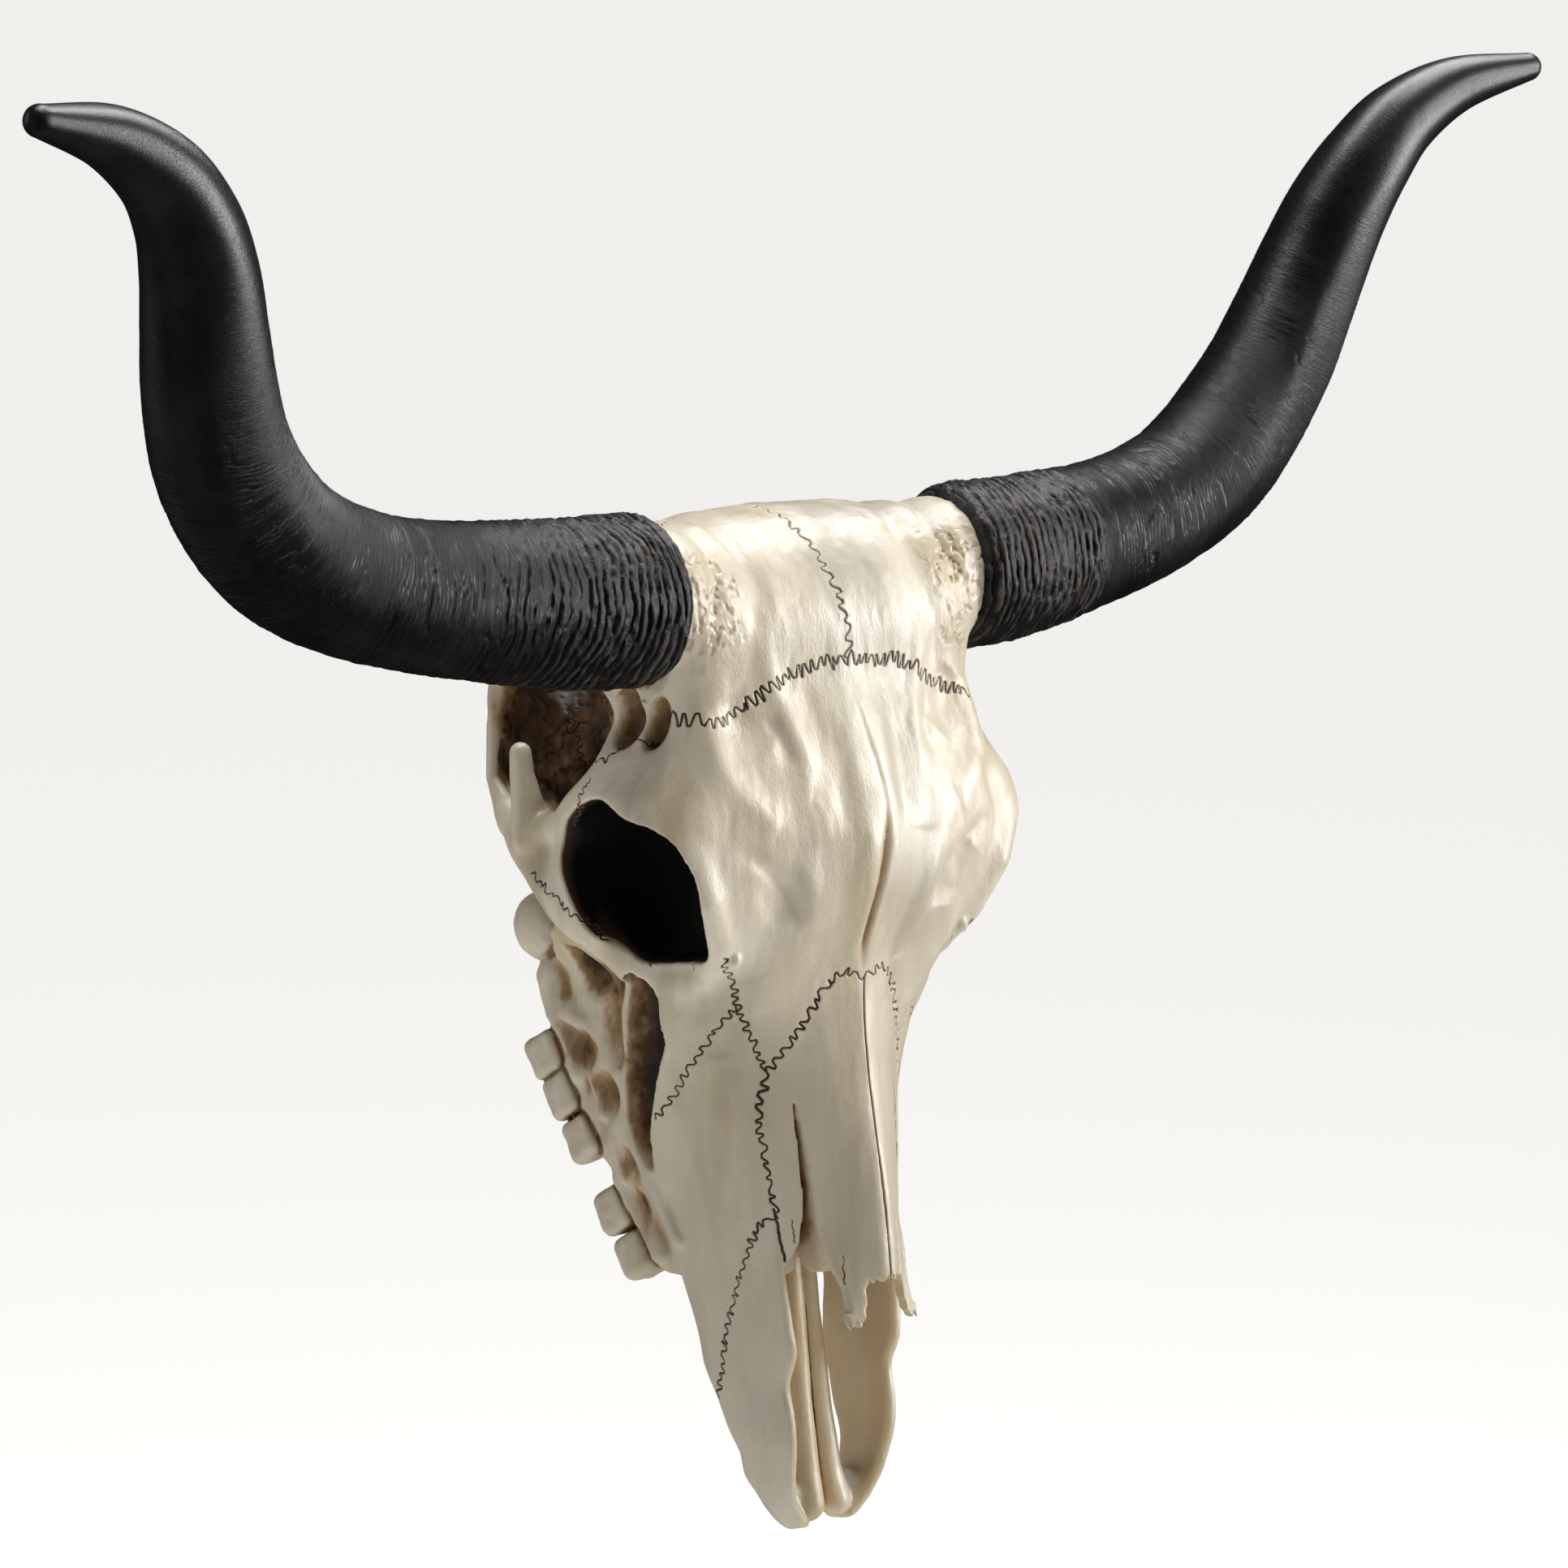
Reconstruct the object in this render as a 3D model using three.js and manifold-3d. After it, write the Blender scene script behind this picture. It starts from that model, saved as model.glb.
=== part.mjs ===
// Cow skull wall trophy, cast in resin: cranium with its upper teeth, two horns and a keyhole hanger.
// Millimetres. X runs across the face, Y runs into the wall, Z is up. The wall plane is Y = 0 and the
// origin is the centre of the flat-cut back of the cranium. The nose hangs down.
import * as THREE from 'three';
import Module from 'manifold-3d';

const wasm = await Module();
wasm.setup();

// ---------------------------------------------------------------- driving dimensions
const WALL = 150;            // the skull's mid-plane datum to the wall, along Y
const GAP = 0.3;             // clearance between pieces that touch
const CELL = 4;              // spacing of the grid on which the bone's form is worked out
const SKULL_TRIANGLES = 6400;
const HALF_WIDTH = 126;      // half the grid's width, past the widest part of the bone
const GRID_Y = [-92, 156];
const GRID_Z = [-386, 146];
const ID_SPAN = 2 ** 26;     // past every corner's number, so that two numbers make one key

const HORN_BASE_X = 97;      // where each horn's base meets the bone
const HORN_SIDES = 18;
const HORN_STEPS = 36;
const HORN_BASE_ROUND = 9;   // length over which the base edge is rounded
const TIP_ANGLES = [25, 50, 70];  // degrees, of the rings that round off the tip

const SEAT = { z: 53, reach: 70 };  // the horn seats' lower edge, and how far they reach to front and rear
const BEYOND = 200;          // past everything, for the blocks that cut

const PLATE = { width: 26, height: 46, thick: 2, z: 30 };
const KEYHOLE = { entry: 6.5, slot: 3, rise: 14, z: 22 };
const POCKET = { width: 20, height: 34, depth: 12 };

const BONE = { color: 0xe4dac4, roughness: 0.55, metalness: 0 };
const HORN = { color: 0x141416, roughness: 0.42, metalness: 0 };
const STEEL = { color: 0xb4b6b8, roughness: 0.35, metalness: 1 };

// ---------------------------------------------------------------- the bone's stations
// Face and forehead: z, ridge y, shoulder x y, edge x y, tooth root x y, rear y
const SHELL = [
  [-250, -80, 27, -38, 40, 22, 40, 30, 36],
  [-236, -78, 31, -37, 45, 26, 45, 38, 45],
  [-220, -75, 35, -35, 51, 30, 50, 46, 56],
  [-190, -70, 39.5, -32, 63, 26, 55, 66, 76],
  [-160, -64, 41, -31, 70.5, 14, 56, 84, 94],
  [-130, -58, 42, -31, 76.5, 4, 56, 96, 106],
  [-100, -55, 50, -37, 82, -6, 58, 100, 112],
  [-80, -56, 64, -42, 84, 0, 80, 52, 90],
  [-60, -62, 80, -46, 90, -16, 90, 45, 60],
  [-40, -67, 94, -49, 104, -32, 98, 45, 54],
  [-20, -68, 100, -49, 111, -34, 100, 45, 52],
  [0, -64, 95, -48, 110, -28, 100, 45, 52],
  [20, -58, 84, -42, 99, -16, 92, 45, 54],
  [40, -50, 78, -36, 88, -10, 82, 45, 56],
  [60, -41, 76, -33, 89, -8, 82, 45, 58],
  [90, -36, 76, -33, 92, -6, 84, 45, 60],
  [110, -27, 76, -26, 92, 0, 84, 45, 60],
];
// Premaxilla blades: z, front edge x y, middle x y, rear edge x y
const BLADE = [
  [-371, 16, -34, 20, -27, 18, -20],
  [-358, 27, -36.5, 31, -25, 28, -13],
  [-346, 31, -40, 35.5, -23, 34, -7],
  [-335, 33, -42, 38, -22, 36, -5],
  [-322, 34.5, -44, 40.5, -20, 38, 2],
  [-307, 35, -42.5, 41.5, -17, 40, 8.5],
  [-294, 35.6, -39.5, 42.5, -13, 42, 15],
  [-277, 36, -45, 43.5, -12, 44, 18],
  [-262, 37.5, -43.5, 45, -10, 47, 21],
  [-245, 38.7, -41, 46.7, -8, 50.5, 25],
  [-230, 39.2, -38.5, 48, -8, 54.5, 28],
  [-205, 40.2, -34, 51, -6, 61, 29],
  [-185, 40.2, -31, 53, -2, 65, 26],
];
const BLADE_HALF = 3.2;
// Nasal bones: z, ridge y, outer edge x y
const NASAL = [
  [-262, -80.4, 17.5, -75],
  [-245, -79.4, 20, -67],
  [-225, -76.5, 23.5, -57],
  [-205, -73, 26.5, -47],
  [-180, -67.5, 29, -43],
  [-150, -62.5, 30, -39],
];
const NASAL_HALF = 2.8;
const OUTLINE_SPREAD = 1.5;  // of an opening past its outline
// Upper cheek teeth: middle of each outer face, three molars and two premolars
const TEETH = [
  [71, 111, -147],
  [70, 97.5, -165],
  [69, 83, -185],
  [61.5, 67, -220],
  [59, 53, -241],
];
const TOOTH_LEAN = THREE.MathUtils.degToRad(32);
const TOOTH_HALF = [4.6, 7.3, 6.2];
const TOOTH_ROUND = 5.4;
// Openings in the side of the skull, as smooth closed curves through points y, z
const ORBIT = [[14, -4], [-8, -11], [-36, -15], [-47, -34], [-44, -58], [-36, -76], [-10, -80], [8, -79],
  [26, -66], [39, -46], [43, -26], [32, -10]];
const FOSSA = [[104, 54], [66, 62], [42, 56], [31, 40], [32, 18], [41, 6], [57, -7], [71, -17],
  [80, -18], [87, -6], [99, -1], [107, -1], [110, 8], [110, 30]];
// Folds and hollows of the face: height, half width, course through points x, z
const FOLDS = [
  [2.6, 8, [[93, 70], [89, 46], [86, 32], [80, 12], [64, -2], [48, -18]]],
  [1.4, 12, [[84, -4], [60, -12]]],
  [-3.4, 9, [[70, -30], [60, -40], [54, -50], [53, -60]]],
  [-2.0, 4.2, [[82, -16], [66, -26], [52, -38], [45, -50], [43, -62]]],
  [1.6, 6.5, [[46, -22], [41, -36], [35, -50], [33, -68]]],
  [-3.2, 10, [[74, 54], [64, 40], [54, 28]]],
  [-1.7, 4, [[51, 44], [46, 32], [44, 18]]],
  [1.8, 6, [[55, 88], [48, 60], [40, 42], [37, 20], [40, 0]]],
  [-1.5, 7.5, [[28, 56], [21, 28], [18, 6], [20, -12]]],
  [0.9, 6, [[10, 44], [9, 10], [9, -20], [11, -60]]],
  [1.2, 10, [[34, 4], [31, -18]]],
  [-1.2, 8, [[27, -52], [26, -84]]],
  [1.4, 10, [[62, -84], [54, -106]]],
  [-1.4, 9, [[70, -98], [62, -128]]],
  [0.9, 8, [[66, -118], [62, -170]]],
  [-0.9, 8, [[52, -140], [52, -210]]],
  [0.8, 7, [[20, -104], [20, -170]]],
];

// Horn: points of the axis on the +X side with the radius at each
const HORN_AXIS = [
  [88, -1, 100, 43],
  [142, 0, 101, 41.5],
  [222, 8, 110, 37],
  [268, 12.5, 122, 36],
  [298, 14, 138, 36],
  [320, 13, 160, 35],
  [336, 9, 185, 33.5],
  [347, 2.5, 214, 31.6],
  [355, -5, 242, 29.6],
  [363, -13, 269, 27.5],
  [375, -21, 293, 24.8],
  [394, -27, 315, 20.9],
  [426, -35, 332.5, 15.4],
  [469, -47, 341.5, 8],
];

// ---------------------------------------------------------------- field of distances
const smoothMin = (a, b, k) => {
  const h = Math.min(Math.max(0.5 + (0.5 * (b - a)) / k, 0), 1);
  return b + (a - b) * h - k * h * (1 - h);
};
const smoothMax = (a, b, k) => -smoothMin(-a, -b, k);

// One column of a station table at height z, as a smooth curve through the stations
function station(table, column, z) {
  const last = table.length - 1;
  const at = Math.min(Math.max(z, table[0][0]), table[last][0]);
  let i = 0;
  while (i < last - 1 && table[i + 1][0] < at) i += 1;
  const slope = (j) => (table[j + 1][column] - table[j][column]) / (table[j + 1][0] - table[j][0]);
  const tangent = (j) => {
    if (j === 0) return slope(0);
    if (j === last) return slope(last - 1);
    const before = table[j][0] - table[j - 1][0];
    const after = table[j + 1][0] - table[j][0];
    return (slope(j - 1) * after + slope(j) * before) / (before + after);
  };
  const span = table[i + 1][0] - table[i][0];
  const u = (at - table[i][0]) / span;
  const v = 1 - u;
  const ends = (1 + 2 * u) * v * v * table[i][column] + u * u * (3 - 2 * u) * table[i + 1][column];
  return ends + u * v * span * (v * tangent(i) - u * tangent(i + 1));
}

// Signed distance from (x, y) to the line a-b, positive on its outer side
function outsideLine(x, y, ax, ay, bx, by) {
  const ex = bx - ax;
  const ey = by - ay;
  return ((x - ax) * ey - (y - ay) * ex) / Math.hypot(ex, ey);
}

function toSegment(x, y, ax, ay, bx, by) {
  const ex = bx - ax;
  const ey = by - ay;
  const t = THREE.MathUtils.clamp(((x - ax) * ex + (y - ay) * ey) / (ex * ex + ey * ey), 0, 1);
  return Math.hypot(x - ax - t * ex, y - ay - t * ey);
}

// A smooth closed curve through corners in the plane, as a ring of points
function smoothRing(corners) {
  const curve = new THREE.CatmullRomCurve3(corners.map(([u, v]) => new THREE.Vector3(u, v, 0)), true);
  return curve.getPoints(corners.length * 4).slice(1);
}

// Signed distance from (u, v) to a ring of points, negative inside
function toRing(u, v, ring) {
  let near = Infinity;
  let inside = false;
  ring.forEach((b, i) => {
    const a = ring[(i + ring.length - 1) % ring.length];
    near = Math.min(near, toSegment(u, v, a.x, a.y, b.x, b.y));
    if ((a.y > v) !== (b.y > v) && u < ((b.x - a.x) * (v - a.y)) / (b.y - a.y) + a.x) inside = !inside;
  });
  return inside ? -near : near;
}

// Half of the bone, on x >= 0; the other half is its mirror image
class BoneField {
  constructor() {
    this.low = [0, GRID_Y[0], GRID_Z[0]];
    const high = [HALF_WIDTH, GRID_Y[1], GRID_Z[1]];
    this.count = this.low.map((low, i) => Math.round((high[i] - low) / CELL) + 1);
    this.value = new Float32Array(this.count[0] * this.count[1] * this.count[2]).fill(1000);
  }

  index(i, j, k) {
    return (i * this.count[1] + j) * this.count[2] + k;
  }

  // Puts change(x, y, z, value) in place of the value at each grid point in a box
  each(low, high, change) {
    const from = low.map((v, a) => Math.max(0, Math.floor((v - this.low[a]) / CELL)));
    const to = high.map((v, a) => Math.min(this.count[a] - 1, Math.ceil((v - this.low[a]) / CELL)));
    for (let i = from[0]; i <= to[0]; i += 1) {
      for (let j = from[1]; j <= to[1]; j += 1) {
        for (let n = from[2]; n <= to[2]; n += 1) {
          const at = this.index(i, j, n);
          this.value[at] = change(i * CELL, this.low[1] + j * CELL, this.low[2] + n * CELL, this.value[at]);
        }
      }
    }
  }

  // Blends distance(x, y, z) into the bone inside a box, as added or as carved material
  blend(low, high, k, carve, distance) {
    const margin = 3 * k + 10;
    this.each(low.map((v) => v - margin), high.map((v) => v + margin), (x, y, z, old) => {
      const d = distance(x, y, z);
      return carve ? smoothMax(old, -d, k) : smoothMin(old, d, k);
    });
  }

  // Ellipsoid of half sizes r at c, leaning by lean degrees about X and turned about Z
  lump(c, r, k, { carve = false, lean = 0, turn = 0 } = {}) {
    const reach = Math.max(...r);
    const { degToRad } = THREE.MathUtils;
    const angles = new THREE.Euler(degToRad(lean), 0, degToRad(turn), 'ZYX');
    const back = new THREE.Matrix4().makeRotationFromEuler(angles).invert();
    const p = new THREE.Vector3();
    this.blend(c.map((v) => v - reach), c.map((v) => v + reach), k, carve, (x, y, z) => {
      p.set(x - c[0], y - c[1], z - c[2]).applyMatrix4(back);
      const near = Math.hypot(p.x / r[0], p.y / r[1], p.z / r[2]) + 1e-4;
      const fall = Math.hypot(p.x / r[0] ** 2, p.y / r[1] ** 2, p.z / r[2] ** 2) + 1e-6;
      return (near * (near - 1)) / fall;
    });
  }

  // Chain of round links through points [x, y, z, radius]
  limb(points, k, carve = false) {
    const reach = Math.max(...points.map((p) => p[3]));
    const low = [0, 1, 2].map((a) => Math.min(...points.map((p) => p[a])) - reach);
    const high = [0, 1, 2].map((a) => Math.max(...points.map((p) => p[a])) + reach);
    const a = new THREE.Vector3();
    const line = new THREE.Line3();
    const p = new THREE.Vector3();
    this.blend(low, high, k, carve, (x, y, z) => {
      p.set(x, y, z);
      let best = Infinity;
      for (let i = 0; i + 1 < points.length; i += 1) {
        line.start.fromArray(points[i]);
        line.end.fromArray(points[i + 1]);
        const t = line.closestPointToPointParameter(p, true);
        line.at(t, a);
        best = Math.min(best, a.distanceTo(p) - THREE.MathUtils.lerp(points[i][3], points[i + 1][3], t));
      }
      return best;
    });
  }

  // Hole of the given outline in y and z, narrowing inwards from x = rim down to x = deep
  window(outline, { deep, high, taper, rim, k, floorBlend, floorRise }) {
    const ring = smoothRing(outline);
    const from = [0, 1].map((axis) => Math.min(...outline.map((p) => p[axis])));
    const to = [0, 1].map((axis) => Math.max(...outline.map((p) => p[axis])));
    this.blend([deep, ...from], [high, ...to], k, true, (x, y, z) => {
      const wall = toRing(y, z, ring) + taper * (rim - x) - OUTLINE_SPREAD;
      return smoothMax(wall, deep + floorRise * (y - from[0]) - x, floorBlend);
    });
  }
}

// ---------------------------------------------------------------- the bone's features
const shellRow = (z) => [1, 2, 3, 4, 5, 6, 7, 8].map((column) => station(SHELL, column, z));
const bladeRow = (z) => [1, 2, 3, 4, 5, 6].map((column) => station(BLADE, column, z));
const nasalRow = (z) => [1, 2, 3].map((column) => station(NASAL, column, z));

// The work on one height is shared by all its points
function byHeight(makeRow) {
  const rows = new Map();
  return (z) => {
    if (!rows.has(z)) rows.set(z, makeRow(z));
    return rows.get(z);
  };
}

function addFace(field) {
  const row = byHeight(shellRow);
  field.blend([0, -92, -250], [126, 125, 112], 0.1, false, (x, y, z) => {
    const [ridge, sx, sy, ex, ey, rx, ry, rear] = row(z);
    const across = Math.sqrt(x * x + 64) - 8;
    let d = outsideLine(across, y, 0, ridge, sx, sy);
    d = smoothMax(d, outsideLine(across, y, sx, sy, ex, ey), 9);
    d = smoothMax(d, outsideLine(across, y, ex, ey, rx, ry), 6);
    d = smoothMax(d, y - rear, 10);
    d = smoothMax(d, z - 104, 30);
    return smoothMax(d, 0.2 * (24 - y) - 250 - z, 9);
  });
}

function addCranium(field) {
  field.limb([[0, 22, 80, 57], [40, 19, 82, 54], [68, 13, 87, 47], [92, 4, 97, 38], [112, 0, 101, 35]], 14);
  field.lump([0, 62, 32], [62, 58, 66], 16);
  field.lump([46, 112, 30], [56, 13, 46], 10, { lean: -14 });
  field.limb([[0, 92, -10, 42], [0, 96, -60, 36], [0, 88, -118, 34]], 16);
  field.limb([[44, 100, 14, 26], [50, 108, -20, 22], [46, 104, -60, 18]], 12);
  field.lump([24, 126, 52], [20, 24, 26], 10);
  field.lump([0, 122, 12], [42, 38, 62], 14);
}

function carveTemples(field) {
  field.window(FOSSA, { deep: 64, high: 110, taper: 0.1, rim: 98, k: 6, floorBlend: 16, floorRise: 0.16 });
  field.lump([98, 11, 41], [13, 11, 16], 3, { carve: true, lean: 14 });
  field.lump([97, -11, 41], [12, 8, 14], 3, { carve: true, lean: 14 });
  field.lump([84, 50, 50], [10, 12, 14], 5, { carve: true });
}

function addArch(field) {
  field.lump([97, 62, -42], [9, 46, 24], 10, { lean: 31, turn: 6 });
  field.limb([[78, -10, -90, 6], [86, 20, -84, 7], [96, 46, -64, 8], [101, 64, -49, 8], [102, 84, -34, 7],
    [99, 100, -18, 7]], 8);
  field.limb([[98, 98, -22, 8], [97.5, 115, -3, 3.7], [97.5, 115.5, 24, 3.6], [88, 112, 48, 6],
    [70, 96, 72, 12]], 4);
  field.limb([[90, 121, -8, 4], [87, 123, 12, 4], [84, 122, 34, 5]], 5);
  field.limb([[94, 20, 14, 8], [99, 38, -4, 7], [102, 56, -18, 6], [104, 72, -22, 7]], 7);
  field.limb([[102, 77, -26, 11], [105, 78, -9, 8], [106, 81, 4, 6.2], [106, 82, 15, 5.4]], 3);
  field.lump([72, 124, 6], [15, 18, 32], 8);
}

function addOrbit(field) {
  const rim = [[98, 24, -2], [104, -2, -1], [106, -28, -8], [103, -43, -20], [95, -48, -42],
    [83, -42, -66], [77, -26, -84], [79, -6, -90], [86, 20, -84], [97, 35, -62], [102, 42, -38],
    [102, 38, -14], [98, 24, -2]];
  field.limb(rim.map((p) => [...p, 4.5]), 10);
  field.window(ORBIT, { deep: 54, high: 125, taper: 0.3, rim: 98, k: 1.5, floorBlend: 20, floorRise: 0 });
  field.lump([74, -44, -73], [4, 4, 5], 1.5);
}

function addJaw(field) {
  field.limb([[84, 15, -86, 8], [84, 10, -99, 14], [81, 14, -114, 17], [78, 20, -131, 15],
    [75, 25, -148, 13], [72, 29, -164, 11], [70, 28, -177, 7], [69, 26, -188, 3]], 1.6, true);
  field.limb([[84, 40, -92, 9], [81, 50, -104, 11], [78, 50, -118, 9], [76, 46, -134, 6]], 7, true);
  field.lump([57, 121, -83], [17, 18, 18], 4);
  field.limb([[58, 110, -107, 12], [58, 104, -124, 11], [56, 98, -140, 10]], 3);
  field.limb([[57, 92, -150, 11], [57, 76, -172, 10], [52, 52, -212, 9], [48, 34, -240, 7]], 5);
  field.limb([[62, 92, -122, 8], [64, 78, -126, 7], [65, 62, -134, 7], [65, 50, -147, 7], [64, 44, -164, 6],
    [64, 36, -184, 6], [61, 28, -202, 5], [55, 20, -226, 4]], 3);
  field.limb([[62, 100, -128, 7], [64, 88, -140, 7], [64, 84, -152, 7]], 2.5);
  field.limb([[65, 66, -138, 6], [65, 68, -152, 6.5], [64, 64, -168, 6]], 2.5);
  field.limb([[63, 52, -168, 6.5], [63, 56, -182, 6.5], [61, 50, -198, 6]], 2.5);
  field.limb([[60, 40, -204, 6], [57, 40, -220, 6], [54, 34, -236, 6]], 2.5);
  field.lump([78, 68, -96], [16, 14, 12], 7, { carve: true, lean: 20 });
  field.lump([74, 79, -138], [9, 12, 9], 7, { carve: true });
  field.lump([73, 58, -158], [8, 10, 10], 7, { carve: true });
  field.lump([71, 93, -131], [5, 8, 4], 4, { carve: true, lean: 20 });
  field.lump([69, 45, -193], [5.5, 7, 9], 6, { carve: true });
  field.lump([64, 38, -217], [6, 9, 12], 6, { carve: true });
  field.lump([60, 6, -237], [8, 4, 3.5], 2, { carve: true });
  field.lump([60, 72, -203], [20, 9, 8], 2, { carve: true, lean: -32 });
}

function carveNose(field) {
  field.limb([[0, -12, -270, 36], [0, -14, -225, 29], [0, -22, -185, 20], [0, -28, -150, 12]], 4, true);
  field.limb([[30, -60, -266, 14], [30, -52, -248, 11], [31, -46, -236, 8]], 2, true);
}

function addNasals(field) {
  const row = byHeight(nasalRow);
  field.blend([0, -92, -262], [44, -30, -150], 1.5, false, (x, y, z) => {
    const [ridge, ex, ey] = row(z);
    const across = Math.sqrt(x * x + 16) - 4;
    const prong = 22 * THREE.MathUtils.smoothstep(x, 9, 15);
    let d = toSegment(across, y, 0, ridge + 3, ex - 2, ey + 2) - NASAL_HALF;
    d = smoothMax(d, -236 - prong - z, 1);
    return smoothMax(d, z + 165, 12);
  });
}

function addPremaxilla(field) {
  const row = byHeight(bladeRow);
  field.blend([0, -60, -380], [70, 50, -185], 3, false, (x, y, z) => {
    const [fx, fy, mx, my, rx, ry] = row(z);
    const front = toSegment(x, y, fx - 2, fy + 3, mx - 3, my);
    const rear = toSegment(x, y, mx - 3, my, rx - 3, ry - 3);
    let d = Math.min(front, rear) - BLADE_HALF;
    d = smoothMax(d, -371 - z, 3);
    return smoothMax(d, z + 190, 8);
  });
  field.lump([14, -22, -358], [12, 8, 12.5], 10);
  field.limb([[4.6, -4, -205, 4.9], [4.6, -7, -235, 5.1], [5.2, -11, -270, 6.1], [6.2, -17, -315, 7.1],
    [7.2, -23, -346, 7.7], [8.5, -27, -361, 8.5]], 2);
  field.lump([0, 20, -240], [44, 8, 38], 6, { lean: 14 });
}

function addTeeth(field) {
  const cos = Math.cos(TOOTH_LEAN);
  const sin = Math.sin(TOOTH_LEAN);
  for (const [face, ty, tz] of TEETH) {
    const tx = face - TOOTH_HALF[0] - TOOTH_ROUND;
    field.blend([tx - 14, ty - 18, tz - 18], [tx + 14, ty + 18, tz + 18], 1.2, false, (x, y, z) => {
      const qx = Math.abs(x - tx) - TOOTH_HALF[0];
      const qy = Math.abs((y - ty) * cos - (z - tz) * sin) - TOOTH_HALF[1];
      const qz = Math.abs((y - ty) * sin + (z - tz) * cos) - TOOTH_HALF[2];
      const outer = Math.hypot(Math.max(qx, 0), Math.max(qy, 0), Math.max(qz, 0));
      return outer + Math.min(Math.max(qx, qy, qz), 0) - TOOTH_ROUND;
    });
  }
}

// How high the folds stand at (x, z) on the front of the face
function foldHeight(x, z) {
  return FOLDS.reduce((height, [amount, width, course]) => {
    let near = Infinity;
    let along = 0;
    for (let i = 0; i + 1 < course.length; i += 1) {
      const [[ax, az], [bx, bz]] = [course[i], course[i + 1]];
      const [ex, ez] = [bx - ax, bz - az];
      const t = THREE.MathUtils.clamp(((x - ax) * ex + (z - az) * ez) / (ex * ex + ez * ez), 0, 1);
      const d = Math.hypot(x - ax - t * ex, z - az - t * ez);
      if (d < near) {
        near = d;
        along = (i + t) / (course.length - 1);
      }
    }
    return height + amount * (1 - (2 * along - 1) ** 4) * Math.exp(-((near / width) ** 2));
  }, 0);
}

function modelFace(field) {
  const heights = new Map();
  field.each([0, -92, -240], [122, 0, 110], (x, y, z, value) => {
    const key = x * ID_SPAN + z;
    if (!heights.has(key)) heights.set(key, foldHeight(x, z));
    return value - heights.get(key) * THREE.MathUtils.smoothstep(-y, 0, 20);
  });
}

// Closes the form just past the flats that are cut later, at the wall and at the horn seats
function closeEnds(field) {
  const high = [HALF_WIDTH, GRID_Y[1], GRID_Z[1]];
  field.blend(field.low, high, 0.01, true, (x, y) => Math.min(WALL + 3 - y, HALF_WIDTH - 6 - x));
}

// ---------------------------------------------------------------- surface of the field
function normalOf(a, b, c) {
  const u = [b[0] - a[0], b[1] - a[1], b[2] - a[2]];
  const w = [c[0] - a[0], c[1] - a[1], c[2] - a[2]];
  return [u[1] * w[2] - u[2] * w[1], u[2] * w[0] - u[0] * w[2], u[0] * w[1] - u[1] * w[0]];
}

// Each cell is split into six tetrahedra round its long diagonal, and each is cut where the field is zero
const CORNERS = [[0, 0, 0], [1, 0, 0], [1, 1, 0], [0, 1, 0], [0, 0, 1], [1, 0, 1], [1, 1, 1], [0, 1, 1]];
const TETRAHEDRA = [[0, 1, 2, 6], [0, 2, 3, 6], [0, 3, 7, 6], [0, 7, 4, 6], [0, 4, 5, 6], [0, 5, 1, 6]];

function extractSurface(field) {
  const [nx, ny, nz] = field.count;
  const points = [];
  const faces = [];
  const onEdge = new Map();
  const span = 2 * nx - 1;
  const cornerId = (i, j, k) => (i * ny + j) * nz + k;
  const valueAt = (i, j, k) => {
    const v = field.value[field.index(Math.abs(i - nx + 1), j, k)];
    return v === 0 ? 1e-4 : v;
  };
  const place = (i, j, k) => [(i - nx + 1) * CELL, field.low[1] + j * CELL, field.low[2] + k * CELL];
  const cut = (a, b) => {
    const key = Math.min(a.id, b.id) * ID_SPAN + Math.max(a.id, b.id);
    if (!onEdge.has(key)) {
      const t = THREE.MathUtils.clamp(a.v / (a.v - b.v), 0.04, 0.96);
      onEdge.set(key, points.length);
      points.push(a.p.map((value, axis) => value + t * (b.p[axis] - value)));
    }
    return onEdge.get(key);
  };
  const triangle = (outward, a, b, c) => {
    const n = normalOf(points[a], points[b], points[c]);
    const facing = n[0] * outward[0] + n[1] * outward[1] + n[2] * outward[2];
    faces.push(facing > 0 ? [a, b, c] : [a, c, b]);
  };
  const middle = (group) => [0, 1, 2].map((axis) => {
    return group.reduce((sum, corner) => sum + corner.p[axis], 0) / group.length;
  });
  for (let i = 0; i + 1 < span; i += 1) {
    for (let j = 0; j + 1 < ny; j += 1) {
      for (let k = 0; k + 1 < nz; k += 1) {
        const cell = CORNERS.map(([a, b, c]) => valueAt(i + a, j + b, k + c));
        if (cell.every((v) => v > 0) || cell.every((v) => v < 0)) continue;
        const corner = CORNERS.map(([a, b, c], n) => {
          return { id: cornerId(i + a, j + b, k + c), v: cell[n], p: place(i + a, j + b, k + c) };
        });
        for (const tetra of TETRAHEDRA) {
          const inside = tetra.filter((n) => cell[n] < 0).map((n) => corner[n]);
          const outside = tetra.filter((n) => cell[n] >= 0).map((n) => corner[n]);
          if (inside.length === 0 || outside.length === 0) continue;
          const innerMiddle = middle(inside);
          const outward = middle(outside).map((v, axis) => v - innerMiddle[axis]);
          if (inside.length === 1) {
            triangle(outward, ...outside.map((o) => cut(inside[0], o)));
          } else if (inside.length === 3) {
            triangle(outward, ...inside.map((n) => cut(n, outside[0])));
          } else {
            const [p, q] = inside;
            const [r, s] = outside;
            const ring = [cut(p, r), cut(p, s), cut(q, s), cut(q, r)];
            triangle(outward, ring[0], ring[1], ring[2]);
            triangle(outward, ring[0], ring[2], ring[3]);
          }
        }
      }
    }
  }
  return { points, faces };
}

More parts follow.
